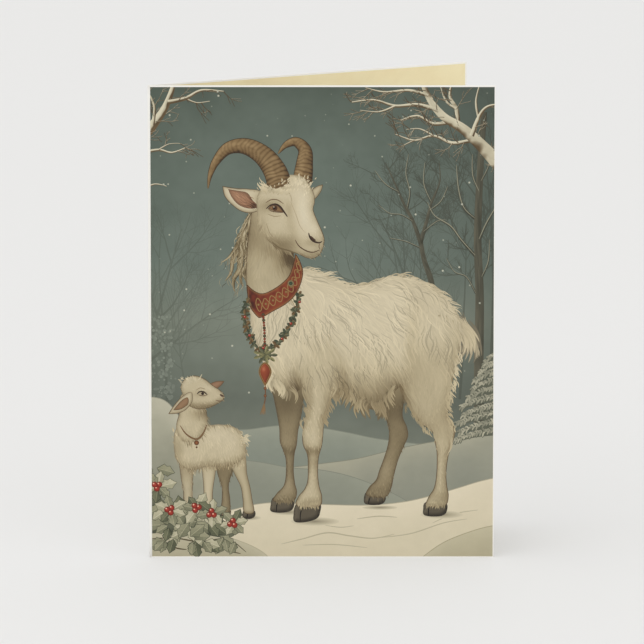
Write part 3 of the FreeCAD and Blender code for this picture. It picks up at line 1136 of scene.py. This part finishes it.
def paint_mane(layer):
    """Long twisted locks that hang down behind the neck."""
    rng = np.random.default_rng(41)
    tones = [ink(62, 51, 34), ink(104, 90, 63), ink(138, 123, 92), ink(168, 154, 122), ink(200, 189, 160)]
    for number, (points, width) in enumerate((
        ([(37.8, 131.6), (35.2, 127), (33.8, 122), (31.2, 117), (28.8, 113.6), (25.8, 111.4)], 1.6),
        ([(37, 129), (34.6, 124), (33.6, 118), (30.4, 113.4), (29.6, 108), (27.4, 104.6)], 2.0),
        ([(37.4, 126), (36, 120), (33.2, 115.6), (32.8, 109.4), (30.6, 105.2), (30.8, 100.6)], 2.5),
        ([(37.2, 122), (35.2, 116.6), (35.4, 111), (33.2, 106.6), (33.8, 102.6)], 2.2),
        ([(37.6, 130.4), (36, 125.4), (34.4, 121.6), (34.8, 116.4), (32.2, 112)], 1.8),
        ([(36.6, 117), (36.2, 112), (34.8, 108), (35.4, 103.8)], 1.6),
        ([(38, 131), (36.8, 127.6), (36.4, 122.4), (35.2, 119)], 1.8),
    )):
        line = curve(points, step=0.4)
        widths = width * np.sin(np.pi * (0.16 + 0.84 * np.linspace(0, 1, len(line)))) ** 0.7
        lift = 3 * number

        def colour(share, place, facing, number=number):
            twist = np.sin(9 * share + 2.2 * place + number)
            hair = mottle(np.stack([share * 5, place * 3.4 + 10 * number], axis=1), 1.0, 84)
            return ramp(0.52 + 0.28 * twist + 0.16 * hair - 0.42 * place ** 4, tones)

        layer.band(line, widths, colour, 11, lift)
        hairs = np.repeat(line[2:-4:4], 2, axis=0)
        hairs = hairs + rng.normal(0, 0.35 * width, hairs.shape)
        along = math.degrees(math.atan2(*(line[-1] - line[0])[::-1]))
        shades = ramp(rng.uniform(0.05, 0.9, len(hairs)), tones)
        fur(layer, hairs, flow([(*line[0], along)]), 4.0, 0.2, shades, rng, 0.7, 7, lift + 1)


def paint_neck(layer):
    """The neck and the short hair on its upper part."""
    rng = np.random.default_rng(43)
    layer.fill(NECK.outline, NECK.colour, 0.9)
    contour(layer, NECK, 0.24, keep=lambda line: line[:, 1] > 98)
    roots = NECK.roots(1.1, rng, 0.5)
    roots = roots[roots[:, 1] > 99]
    fur(layer, roots, COAT_FLOW, 4.5, 0.34, NECK.colour(roots) * 1.01, rng, 0.25, 6, 1, vary=0.035)


COLLAR_TOP = [(35.5, 103.2), (38.3, 100.8), (41.2, 99.9), (44.6, 101.2), (48.4, 103.8), (51.2, 107),
              (53, 112.4), (53.4, 114.6)]
COLLAR_FOOT = [(55.2, 111.4), (56, 107), (53.8, 100.4), (50, 96.3), (44.8, 93.2), (41, 91.1), (39.2, 91.4),
               (36.2, 96)]


def paint_collar(layer):
    """A red collar with gilt edges, a curling gilt pattern and one green stone."""
    outline = curve([*COLLAR_TOP[:1], *COLLAR_TOP, *COLLAR_FOOT], closed=True, step=0.6)
    gilt = ink(146, 114, 68)
    reds = [ink(62, 28, 20), ink(102, 42, 28), ink(126, 56, 34), ink(146, 82, 48)]

    def colour(points):
        distance = nearest(outline, points)[0]
        value = 0.50 + 0.25 * mottle(points, 1.3, 91) + 0.22 * glow(points, (46, 98), (5, 5))
        value = value - 0.5 * glow(points, (36, 98), (2.2, 9)) - 0.2 * glow(points, (54, 112), (3, 4))
        cloth = ramp(value, reds)
        edge = np.exp(-(distance / 0.55) ** 2)[:, None]
        return cloth * (1 - 0.75 * edge) + gilt * 0.75 * edge

    layer.fill(outline, colour, 0.5)
    layer.line(closed_line(outline), 0.26, ink(70, 42, 28), False, 1)
    share = np.linspace(0, 1, 120)
    upper, lower = (
        edge[(share * (len(edge) - 1)).astype(int)]
        for edge in (curve(COLLAR_TOP[1:], step=0.25), curve(COLLAR_FOOT[-2::-1], step=0.25))
    )
    for phase in (0.0, math.pi):
        sway = 0.5 + 0.26 * np.sin(share * 9.5 * math.pi + phase)
        layer.line(lerp(lower, upper, sway[:, None]), 0.34, gilt, False, 1)
    for k in range(6, 118, 13):
        layer.dot(lerp(lower[k], upper[k], 0.5), 0.5, gilt * 1.1, gilt * 0.75, 2, 8)
    stone = (51.6, 103.8)
    layer.dot(stone, 1.25, ink(176, 160, 120), ink(104, 88, 58), 3, 14)
    layer.dot(stone, 0.72, ink(70, 84, 60), ink(40, 50, 36), 4, 12)


def leaf(layer, base, degrees, length, width, dark, light, lift):
    """A small pointed leaf, lighter on one side of its rib."""
    reach = heading(degrees) * length
    line = curve([base, base + reach * 0.5, base + reach], step=length / 5)
    widths = width * np.sin(np.pi * np.linspace(0.08, 1, len(line))) ** 0.8

    def colour(share, place, facing):
        return tint(dark, light, 0.45 + 0.5 * place + 0.2 * facing)

    layer.band(line, widths, colour, 3, lift)


def berry(layer, centre, radius, lift):
    """A red berry with a small light spot on it."""
    layer.dot(centre, radius, ink(178, 62, 46), ink(104, 30, 24), lift, 12)
    shine = np.array(centre) + radius * np.array([-0.3, 0.35])
    layer.dot(shine, radius * 0.28, ink(226, 176, 150), None, lift + 1, 6)


def paint_garland(layer):
    """A loop of small leaves and berries round the chest, with a red drop and a tassel at its foot."""
    rng = np.random.default_rng(53)
    line = curve([(54.6, 99.6), (53.6, 94), (51.4, 88), (47.8, 82.4), (43.6, 79.2), (39.4, 79.4),
                  (36.8, 83.2), (35.2, 88), (34.8, 93), (35.6, 97)], step=1.25)
    layer.line(line, 0.5, ink(70, 58, 40), False)
    greens = [(ink(44, 50, 38), ink(92, 98, 74)), (ink(58, 62, 46), ink(116, 116, 88)),
              (ink(74, 58, 38), ink(134, 108, 70))]
    for number, place in enumerate(line):
        if number % 7 == 3:
            berry(layer, place + rng.normal(0, 0.4, 2), 0.55, 6)
        if number % 5 == 2:
            continue
        for turn in (40, 130, 220, 310):
            dark, light = greens[rng.integers(0, 3)]
            leaf(layer, place, turn + rng.uniform(-40, 40), rng.uniform(1.3, 2.3), 1.1, dark, light,
                 1 + number % 4)
    paint_knot(layer, np.array([42.2, 76.8]), greens[1])
    beads = curve([(41.4, 92), (41.8, 87), (42, 80.4)], step=1.0)
    for number, place in enumerate(beads):
        tone = ink(150, 70, 44) if number % 3 else ink(92, 84, 60)
        layer.dot(place, 0.5 if number % 3 else 0.62, tone, tone * 0.62, 6, 8)
    paint_drop(layer)


def paint_knot(layer, knot, greens):
    """Two rings of small leaves round one spot: the outer ring first, the inner one over it."""
    layer.dot(knot, 2.3, greens[0], greens[0], 4)
    sprig = (ink(84, 84, 54), ink(158, 152, 108))
    for reach, lift in ((1.7, 5), (0.2, 6)):
        for k in range(9):
            dark, light = greens if k % 3 == 0 else sprig
            place = knot + reach * heading(40 * k) * (1.3, 0.8)
            leaf(layer, place, 40 * k, 2.4, 1.2, dark, light, lift)


def paint_drop(layer):
    """A plain red drop with a gilt rim, and the cord and tassel that hang from it."""
    cord = curve([(42.1, 66), (42.2, 61), (41.6, 57.4)], step=0.8)
    layer.line(cord, 0.4, ink(112, 76, 50), False, 6)
    for v in (64.2, 61.4):
        layer.dot((42.1, v), 0.6, ink(150, 100, 64), ink(86, 54, 34), 7)
    for offset in (-0.5, -0.2, 0.1, 0.4):
        tassel = curve([(41.7, 58.6), (41.6 + offset, 56.6), (41.2 + 2 * offset, 54.2)], step=0.6)
        layer.line(tassel, 0.4, ink(140, 112, 78) * (1 - 0.2 * abs(offset)), lift=7)
    reds = [ink(84, 38, 24), ink(126, 56, 34), ink(150, 74, 46), ink(184, 112, 80)]
    drop = Form([(42, 73.8), (40.7, 72.8), (40, 70.8), (40.4, 68.8), (42.1, 65.4), (42.1, 65.4),
                 (43.8, 68.8), (44.2, 70.8), (43.4, 72.8)],
                2.0, reds, 0.5, (((41.6, 71.4), (0.7, 1.0), 0.4),), 0.3, 0.3)
    layer.fill(drop.outline, drop.colour, 0.5, 8)
    rim = closed_line(drop.outline)
    layer.line(rim, 0.62, ink(146, 112, 66), False, 9)
    layer.line(rim, 0.2, ink(84, 60, 36), False, 10)


def paint_head(layer):
    """The near ear, then the head with its short hair, its beard and its face."""
    rng = np.random.default_rng(59)
    layer.fill(NEAR_EAR.outline, NEAR_EAR.colour, 0.6)
    contour(layer, NEAR_EAR, 0.24)
    layer.fill(INNER_EAR.outline, INNER_EAR.colour, 0.5, 2)
    hairs = INNER_EAR.roots(0.9, rng, 0.2)
    ear_flow = flow([(30, 138, -25), (36, 135, -40)])
    fur(layer, hairs, ear_flow, 2.6, 0.2, INNER_EAR.colour(hairs) * 1.18, rng, 0.2, 4, 3)
    layer.fill(HEAD.outline, HEAD.colour, 0.55, 14)
    contour(layer, HEAD, 0.24, keep=lambda line: (line[:, 1] < 140) & (line[:, 0] > 44), lift=15)
    face_flow = flow([(52, 142, -60), (45, 137, -160), (42, 130, -110), (47, 124, -95), (56, 134, -62),
                      (60, 124, -60), (54, 118, -30), (50, 128, -75)])
    roots = HEAD.roots(0.95, rng, 0.35)
    fur(layer, roots, face_flow, 1.7, 0.2, HEAD.colour(roots), rng, 0.15, 4, 15, gain=0.08)
    jaw = HEAD.roots(0.8, rng)
    jaw = jaw[(nearest(HEAD.outline, jaw)[0] < 1.4) & (jaw[:, 0] < 52) & (jaw[:, 1] < 132)]
    jaw_flow = flow([(41, 128, -105), (46, 118, -60)])
    fur(layer, jaw, jaw_flow, 3.2, 0.34, HEAD.colour(jaw) * 1.04, rng, 0.3, 5, 17)
    paint_face(layer, 26)


def paint_face(layer, lift):
    """The eye, the nostril and the mouth."""
    dark, soft = ink(58, 42, 32), ink(136, 118, 90)
    eye = Form([(43.3, 132.0), (43.3, 132.0), (44.6, 133.1), (46, 133.3), (47.5, 132.5), (49.2, 130.4),
                (49.2, 130.4), (47.2, 130.7), (45.4, 131.0), (44.2, 131.4)],
               1.0, [ink(66, 46, 34), ink(136, 104, 70), ink(160, 130, 92)], 0.6, rim=0.6)
    layer.fill(eye.outline, eye.colour, 0.4, lift)
    layer.dot((45.8, 132.1), 0.95, ink(108, 70, 42), ink(56, 38, 28), lift + 1, 14)
    layer.dot((45.7, 132.1), 0.45, ink(26, 18, 14), None, lift + 2, 10)
    layer.dot((45.4, 132.5), 0.2, ink(222, 208, 182), None, lift + 3, 6)
    layer.lines((
        ([(42.6, 131.8), (44.1, 133.1), (46, 133.5), (47.7, 132.6), (49.6, 130), (50.4, 128.8)], 0.72, dark),
        ([(43.3, 131.9), (44.4, 131.0), (46.4, 130.6), (48.8, 130.4)], 0.36, ink(92, 70, 50)),
        ([(42.4, 134.0), (44.4, 135.2), (46.8, 135.1), (49.0, 133.6)], 0.42, ink(120, 100, 74)),
        ([(43.2, 129.8), (45.6, 129.0), (48, 129.2)], 0.3, ink(150, 134, 104)),
        ([(58.2, 122.8), (58.7, 121), (60.1, 119.6), (62, 119.1), (63.2, 119.6)], 0.7, dark),
        ([(58.8, 121.6), (59.8, 120.4), (60.8, 119.9)], 0.9, ink(78, 58, 44)),
        ([(62.2, 118.9), (62, 117.6), (62.4, 116.6)], 0.3, ink(110, 88, 64)),
        ([(53.2, 120.2), (54.6, 117.9), (57, 116.2), (59.6, 115.5), (62.3, 116.4)], 0.46, ink(88, 66, 48)),
        ([(54.6, 115.4), (57.8, 113.8), (60.2, 113.8)], 0.3, soft),
        ([(51.6, 134.4), (53.4, 130), (55, 125.4), (57, 122.8)], 0.22, ink(170, 154, 124)),
        ([(42.6, 126.4), (44, 122.6), (46.8, 119.6)], 0.26, ink(150, 134, 104)),
        ([(44.6, 119.4), (47.4, 117.2), (50.6, 116.2), (54.4, 114.9)], 0.5, ink(108, 93, 66)),
        ([(49.6, 138.8), (51.4, 137.2), (52, 134.6)], 0.24, ink(160, 144, 114)),
    ), 0.35, lift + 4)


def paint_near_horn(layer):
    """The near horn, and the short hair of the poll over its root."""
    rng = np.random.default_rng(61)
    horn(layer, [(47.8, 139.8), (45.8, 146), (41.4, 151.8), (35, 155.2), (28.6, 154.4), (24.2, 149.6),
                 (22, 144.4), (21.2, 139.4)],
         [9.2, 8.5, 7.5, 6.3, 4.9, 3.4, 2.0, 0.3], 30)
    poll = flow([(43, 140, 130), (46, 140, 60), (49, 140, 30), (53, 143, 60), (57, 142, 70)])
    for centre, reach, count, length, tone in (
        ((42.4, 139.2), (0.8, 0.8), 20, 2.6, 1.06), ((47.4, 138.3), (3.2, 0.6), 80, 1.2, 1.02),
        ((53, 141.4), (2.2, 0.9), 80, 1.2, 1.02), ((57.4, 140.2), (0.8, 1.6), 26, 1.2, 1.04),
    ):
        places = rng.normal(centre, reach, (count, 2))
        colours = HEAD.colour(places - (0, 2.4)) * tone
        fur(layer, places, poll, length, 0.45, colours, rng, 0.4, 6, 3, gain=0.04, vary=0.04)


# ---------------------------------------------------------------- the picture: the kid and the holly

def kid_forms():
    """The kid's pieces, from back to front: name and form."""
    return {
        "far_ear": Form([(21.6, 65.6), (24, 66.8), (27, 66.9), (27, 66.9), (25.2, 64.8), (22.4, 63.4)], 1.2,
                        [ink(96, 68, 48), ink(140, 106, 80), ink(176, 148, 116)], 0.6),
        "far_fore": Form([(10.2, 42), (10.8, 31), (11.8, 25), (11.8, 16), (15, 16), (15.1, 25), (15.4, 31),
                          (17, 42)], 1.8, SHADED_COAT, 0.80, (((13, 34), (5, 4), -0.16),)),
        "far_hind": Form([(24, 42), (24.2, 33), (26, 27), (26, 21), (25.4, 17.4), (28.8, 17.4), (29, 22),
                          (28.6, 28), (31, 38)], 1.8, SHADED_COAT, 0.46, (((27, 34), (5, 6), -0.12),)),
        "near_hind": Form([(28, 44), (28.6, 37), (30.6, 32), (33, 27), (33.8, 22), (34.3, 17.2), (37.8, 17.2),
                           (37.2, 22), (36.4, 27), (35.3, 32), (35, 38), (34, 44)], 1.8, level=0.56),
        "near_fore": Form([(17.4, 43), (18.8, 32), (19.3, 25), (18.9, 16), (22.3, 16), (22.6, 25), (23.6, 32),
                           (25, 43)], 1.8, level=0.68, spots=(((21, 35), (5, 3), -0.12),)),
        "body": Form([(8.6, 47.6), (8.3, 42), (9.3, 37), (12.2, 34), (16, 33.2), (20, 34.4), (25, 34.6),
                      (30, 35.2), (34, 37.6), (34.9, 42), (33.6, 46.8), (30.4, 49.6), (25, 50.6),
                      (20, 50.2), (15, 52.4), (11, 51.4)],
                     4.5, level=0.65, depth=0.14,
                     spots=(((28, 34), (9, 3.2), -0.16), ((14.5, 33), (4.5, 3), -0.12),
                            ((10, 41), (2, 7), -0.14), ((26, 46), (6, 3), 0.08))),
        "neck": Form([(11.4, 62), (10.4, 55), (9.2, 49), (12, 44), (18, 45), (20.6, 50.4), (20.2, 56),
                      (18.6, 60)],
                     3.0, level=0.60, depth=0.14, spots=(((18.6, 55.2), (3.6, 2.2), -0.26),)),
        "head": Form([(11.6, 62), (11, 65), (12.6, 67.8), (16, 69), (19.6, 67.8), (22.6, 65.4), (25.2, 63.6),
                      (26.8, 61.8), (26.6, 60), (24.4, 58.4), (21.4, 57), (17.2, 56.4), (13.4, 58.2)],
                     2.6, level=0.62, depth=0.16,
                     spots=(((18, 57.6), (6, 1.5), -0.22), ((18.2, 62.4), (2.6, 1.3), -0.14),
                            ((13, 60.6), (1.8, 2.4), -0.16), ((21, 64.6), (3, 1.4), 0.08))),
        "near_ear": Form([(14.8, 62.8), (11.8, 61.4), (8.8, 58.2), (6.4, 54.6), (6.4, 54.6), (9.8, 54.8),
                          (13, 56.4), (15.2, 59.6)], 1.5, level=0.66),
        "inner_ear": Form([(13.4, 60.8), (11, 59.4), (8.2, 56.0), (8.2, 56.0), (11, 56.4), (13.6, 58.4)], 1.0,
                          [ink(96, 70, 48), ink(140, 110, 80), ink(170, 138, 106)], 0.6),
    }


def paint_kid(layer):
    """A kid at the goat's feet, looking up."""
    rng = np.random.default_rng(67)
    lift = 0
    for corners, cleft in (
        ([(25.4, 18), (28.9, 18), (29.2, 16.2), (27.8, 15.2), (25.2, 15.4)], [(26.8, 18), (26.4, 15.4)]),
        ([(34.2, 18), (37.9, 18), (38.4, 16), (36.8, 14.7), (33.8, 15)], [(35.7, 18), (35.3, 15)]),
    ):
        hoof(layer, corners, cleft)
    kid_flow = flow([(12, 56, -95), (10, 46, -88), (16, 40, -88), (22, 48, -40), (28, 44, -68), (33, 42, -85),
                     (30, 36, -92), (20, 36, -88), (20, 25, -90), (34, 27, -75)])
    head_flow = flow([(14, 66, -150), (18, 68, -60), (24, 62, -30), (16, 60, -80)])
    for name, form in kid_forms().items():
        lift += 3
        layer.fill(form.outline, form.colour, 0.6, lift)
        if name != "body":
            contour(layer, form, 0.2, keep=lambda line: (line[:, 1] < 36) | (line[:, 1] > 50), lift=lift + 1)
        if "ear" in name:
            continue
        field, length, spacing = (head_flow, 1.0, 0.9) if name == "head" else (kid_flow, 2.4, 0.8)
        roots = form.roots(spacing, rng, 0.1)
        fur(layer, roots, field, length, 0.26, form.colour(roots) * 1.01, rng, 0.3, 5, lift + 1,
            gain=0.06, vary=0.04)
        lift += 9
        if name == "body":
            rim = edge_roots(form.outline, rng, 100, ((8, 36, 33, 54),))
            fur(layer, rim, kid_flow, 1.6, 0.3, form.colour(rim) * 1.14, rng, 0.5, 5, lift,
                gain=0.1, vary=0.05)
            lift += 9
    for centre, reach, count, guides, length, width, wave in (
        ((14.6, 67.2), (1.6, 0.6), 50, [(11, 66, 190), (14, 68, 110), (18, 68, 20)], 1.2, 0.3, 0.5),
        ((33.8, 45), (0.5, 0.8), 26, [(34, 47, 10), (36, 43, -50)], 1.8, 0.36, 0.4),
    ):
        tuft = rng.normal(centre, reach, (count, 2))
        fur(layer, tuft, flow(guides), length, width, alike(ink(196, 184, 154), count), rng, wave, 5, lift,
            gain=0.1, vary=0.06)
    dark, cord = ink(54, 40, 30), [(10.6, 50.2), (13, 46.8), (16.6, 45), (19, 47), (20.5, 50.4)]
    layer.lines((
        ([(17.0, 62.0), (17.8, 62.9), (19.4, 62.9), (20.8, 61.7)], 0.55, dark),
        ([(17.4, 61.8), (19, 61.4), (20.6, 61.6)], 0.3, ink(96, 74, 54)),
        ([(16.6, 63.6), (18.2, 64.4), (20, 63.9)], 0.24, ink(132, 114, 86)),
        ([(25.4, 62.0), (26.2, 61.4), (26.9, 61.3)], 0.7, ink(78, 54, 44)),
        ([(23.8, 59.8), (25.2, 59.4), (26.5, 59.7)], 0.32, ink(100, 76, 56)),
        (cord, 0.6, ink(92, 62, 40)),
        (cord, 0.22, ink(150, 116, 74)),
    ), 0.3, lift + 10)
    layer.dot((19, 62.2), 0.55, ink(58, 40, 30), ink(36, 26, 20), lift + 11)
    layer.dot((16.7, 43.6), 0.95, ink(150, 96, 58), ink(80, 46, 30), lift + 11)
    layer.dot((16.7, 41.9), 0.4, ink(96, 66, 42), None, lift + 11, 7)


def holly_leaf(layer, base, degrees, length, tones, lift):
    """A holly leaf: two spines on each side and one at its tip, with a rib and a drawn edge."""
    ahead = heading(degrees)
    side = np.array([-ahead[1], ahead[0]])
    half = [(0.16, 0.16), (0.34, 0.33), (0.34, 0.33), (0.48, 0.24), (0.66, 0.30), (0.66, 0.30), (0.80, 0.15)]
    right = [base + length * (t * ahead - w * side) for t, w in half]
    left = [base + length * (t * ahead + w * side) for t, w in reversed(half)]
    point = base + length * ahead
    outline = curve([base, base, *right, point, point, *left], closed=True, step=0.7)

    def colour(points):
        across = (points - base) @ side
        along = (points - base) @ ahead / length
        fold = 0.5 + 0.15 * np.clip(across * np.sign(side @ LIGHT) / 0.4, -1, 1)
        veins = 0.06 * np.sin(30 * (along - 1.2 * np.abs(across) / length))
        return ramp(fold + veins + 0.2 * (along - 0.5) + 0.1 * mottle(points, 1.5, 93), tones)

    layer.fill(outline, colour, 0.6, lift)
    layer.line(closed_line(outline), 0.18, tones[0] * 0.8, False, lift + 1)
    layer.line(curve([base, base + 0.92 * length * ahead], step=0.6), 0.18, tones[-1], lift=lift + 1)


def paint_holly(layer):
    """A holly sprig in the near corner: pale and green leaves round small bunches of berries."""
    rng = np.random.default_rng(71)
    pale = [ink(120, 120, 94), ink(158, 155, 127), ink(186, 180, 152), ink(206, 199, 172)]
    middle = [ink(90, 92, 72), ink(122, 122, 97), ink(148, 146, 118), ink(172, 167, 138)]
    green = [ink(60, 64, 48), ink(84, 87, 66), ink(110, 112, 86), ink(138, 136, 108)]
    hollow = curve([(-3, 30), (1, 28), (4, 22), (10, 18.5), (17, 17), (24, 15.5), (29.5, 12), (31, 9),
                    (28, 7.4), (21, 8.4), (14, 9.4), (6, 9.6), (-3, 11)], closed=True, step=1.2)

    def shade(points):
        return tint(ink(66, 70, 55), ink(120, 120, 97), 0.4 + 0.5 * mottle(points, 2.4, 94))

    layer.fill(hollow, shade, 1.0)
    height = 1
    for points in ([(-2, 7), (8, 7.4), (18, 6), (28, 7), (35, 2)], [(4, 6), (9, 3.6), (13, 3)],
                   [(20, 6), (27, 3), (33, 1.4)]):
        layer.line(curve(points, step=0.8), 0.55, ink(84, 76, 54), lift=height)
    behind = [(rng.uniform(-1, 28), rng.uniform(6, 16)) for _ in range(38)]
    behind += [(1, 24), (0, 31), (2, 34), (0, 38), (8, 7), (15, 6), (21, 6.4), (27, 7), (31, 6)]
    behind += [(u, 10.6 + 2 * (u % 4)) for u in range(-1, 15, 3)]
    for number, (u, v) in enumerate(sorted(behind, key=lambda place: -place[1])):
        tones = (green, middle, middle, pale, middle)[number % 5]
        degrees = rng.uniform(200, 340) if v < 7.5 else rng.uniform(0, 360)
        holly_leaf(layer, np.array([u, v]), degrees, rng.uniform(5.0, 7.4), tones, height)
        height += 1
    bunches = ((2.4, 27, 20), (7.2, 18, 40), (16.8, 18.6, 0), (22.6, 17, 80), (30.4, 13.2, 70))
    for number, (u, v, turn) in enumerate(bunches):
        for k in range(6):
            degrees = turn + k * 60 + rng.normal(0, 8)
            tones = (pale, pale, middle, pale, green, middle)[(k + number) % 6]
            length = rng.uniform(5.0, 6.8) if u < 30 else rng.uniform(4.6, 5.6)
            base = np.array([u, v]) + 0.5 * heading(degrees)
            holly_leaf(layer, base, degrees, length, tones, height)
            height += 1
    for u, v, turn in bunches:
        for degrees in (turn + 40, turn + 220, turn + 130):
            centre = np.array([u, v]) + (0.9 if degrees != turn + 130 else 1.5) * heading(degrees)
            berry(layer, centre, 1.15, height)
            height += 2


# ---------------------------------------------------------------- the rest of the card

def parchment(points):
    """Old paper: cream with soft brown clouds."""
    cloud = 0.5 * mottle(points, 19, 95) + 0.3 * mottle(points, 7, 96) + 0.2 * mottle(points, 2, 97)
    return tint(ink(241, 229, 188), ink(228, 208, 162), 0.45 + 0.7 * cloud)


def tint_page(name, body, angle, side):
    """The old-paper tint on one leaf's inner face. angle is the leaf's, and side is 1 for the far leaf."""
    border, spacing, proud = 0.6, 2.5, 0.004
    start = (COVER_LOW.x - HINGE.x) / MM
    gap = (HINGE.y - COVER_HIGH.y) / MM - proud
    across = np.linspace(0, COVER_WIDTH - border, int(COVER_WIDTH / spacing))
    up = np.linspace(border, CARD_HEIGHT - border, int(CARD_HEIGHT / spacing))
    u, v = (grid.ravel() for grid in np.meshgrid(across, up))
    x = (start + u) * math.cos(angle) - side * gap * math.sin(angle)
    y = (start + u) * math.sin(angle) + side * gap * math.cos(angle)
    places = np.stack([HINGE.x + x * MM, HINGE.y + y * MM, COVER_LOW.z + v * MM], axis=1)
    faces = grid_faces(len(up), len(across), turned=side < 0)
    coloured_mesh(name, places, faces, parchment(np.stack([u, v + 40 * side], axis=1)), body)


def wrap_fold():
    """The paper that runs round the outside of the fold, from one leaf's face to the other's."""
    outer = -(COVER_LOW.y - HINGE.y) / MM
    overlap, skin, sunk = 0.32, 0.012, 0.25
    turn = math.pi - OPENING
    section = []
    for radius in (outer + skin, outer - sunk):
        half = [(overlap, -radius)]
        half += [
            (radius * math.cos(angle), radius * math.sin(angle))
            for angle in np.linspace(-math.pi / 2, -math.pi / 2 - turn, 17)
        ]
        far = -math.pi / 2 - turn
        half.append((
            radius * math.cos(far) + overlap * math.cos(OPENING),
            radius * math.sin(far) + overlap * math.sin(OPENING),
        ))
        section.append(half)
    loop = section[0] + section[1][::-1]
    size = len(loop)
    levels = np.linspace(COVER_LOW.z, COVER_HIGH.z, 25)
    verts = [(HINGE.x + x * MM, HINGE.y + y * MM, z) for z in levels for x, y in loop]
    faces = [
        (row * size + k, row * size + (k + 1) % size, (row + 1) * size + (k + 1) % size, (row + 1) * size + k)
        for row in range(len(levels) - 1)
        for k in range(size)
    ]
    for row in (0, len(levels) - 1):
        for k in range(len(section[0]) - 1):
            cap = (row * size + k, row * size + k + 1, row * size + size - 2 - k, row * size + size - 1 - k)
            faces.append(cap)
    mesh = bpy.data.meshes.new("fold_wrap")
    mesh.from_pydata(verts, [], faces)
    bm = bmesh.new()
    bm.from_mesh(mesh)
    bmesh.ops.recalc_face_normals(bm, faces=bm.faces)
    bm.to_mesh(mesh)
    bm.free()
    mesh.materials.append(bare_card())
    for polygon in mesh.polygons:
        polygon.use_smooth = abs(polygon.normal.z) < 0.5
    piece = bpy.data.objects.new("fold_wrap", mesh)
    bpy.context.scene.collection.objects.link(piece)
    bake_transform(piece)


def bare_leaves():
    """Bare card on every CAD piece, in place of what it came with."""
    for node in frame["nodes"].values():
        node.data.materials.clear()
        node.data.materials.append(bare_card())


# ---------------------------------------------------------------- floor, light and camera

def studio():
    """A plain pale floor and soft light."""
    bpy.ops.mesh.primitive_plane_add(size=8, location=(0, 0, COVER_LOW.z))
    floor = bpy.context.object
    floor.name = "floor"
    material = bpy.data.materials.new("floor_matte")
    shader = nodes_of(material)[2]
    shader.inputs["Base Color"].default_value = (0.80, 0.80, 0.795, 1)
    shader.inputs["Roughness"].default_value = 0.8
    floor.data.materials.append(material)

    world = bpy.data.worlds.new("studio")
    bpy.context.scene.world = world
    world.use_nodes = True
    background = world.node_tree.nodes["Background"]
    background.inputs["Color"].default_value = (1.0, 0.995, 0.985, 1)
    background.inputs["Strength"].default_value = 0.99

    for name, place, size, power in (
        ("key", (-1.1, -1.5, 1.6), 1.4, 3.5),
        ("fill", (1.3, -1.2, 1.0), 1.6, 1.6),
    ):
        data = bpy.data.lights.new(name, "AREA")
        data.size = size
        data.energy = power
        lamp = bpy.data.objects.new(name, data)
        lamp.location = place
        lamp.rotation_euler = (Vector((0, 0, 0.09)) - Vector(place)).to_track_quat("-Z", "Y").to_euler()
        bpy.context.scene.collection.objects.link(lamp)


def camera():
    """A long lens a little above the card, square on to the cover."""
    distance, elevation, view_width = 3.0, math.radians(12.0), 0.2375
    data = bpy.data.cameras.new("camera")
    data.sensor_width = 36.0
    data.lens = data.sensor_width * distance / view_width
    data.clip_end = 20
    eye = bpy.data.objects.new("camera", data)
    aim = Vector((0.0, COVER_LOW.y, (COVER_LOW.z + COVER_HIGH.z) / 2 + 0.0003))
    eye.location = aim + distance * Vector((0, -math.cos(elevation), math.sin(elevation)))
    eye.rotation_euler = (math.pi / 2 - elevation, 0, 0)
    bpy.context.scene.collection.objects.link(eye)
    bpy.context.scene.camera = eye
    bpy.context.scene.view_settings.view_transform = "Standard"


# from back to front: each layer's name, and what draws it
PICTURE = (
    ("print_sky", paint_sky),
    ("print_far_trees", paint_far_trees),
    ("print_trees", paint_trees),
    ("print_far_snow", paint_far_snow),
    ("print_snow", paint_near_snow),
    ("print_snowy_bush", paint_bush),
    ("print_snowy_branches", paint_branches),
    ("print_snowflakes", paint_flakes),
    ("print_goat_far_side", paint_far_side),
    ("print_goat_body", paint_body),
    ("print_goat_near_legs", paint_near_legs),
    ("print_goat_undercoat", paint_undercoat),
    ("print_goat_coat", paint_overcoat),
    ("print_goat_locks", paint_locks),
    ("print_goat_mane", paint_mane),
    ("print_goat_neck", paint_neck),
    ("print_collar", paint_collar),
    ("print_garland", paint_garland),
    ("print_goat_head", paint_head),
    ("print_goat_horn", paint_near_horn),
    ("print_kid", paint_kid),
    ("print_holly", paint_holly),
)

for name, paint in PICTURE:
    layer = Layer(name)
    paint(layer)
    layer.make()
bare_leaves()
tint_page("cover_inside", COVER, 0.0, -1)
tint_page("back_inside", BACK, OPENING, 1)
wrap_fold()
studio()
camera()
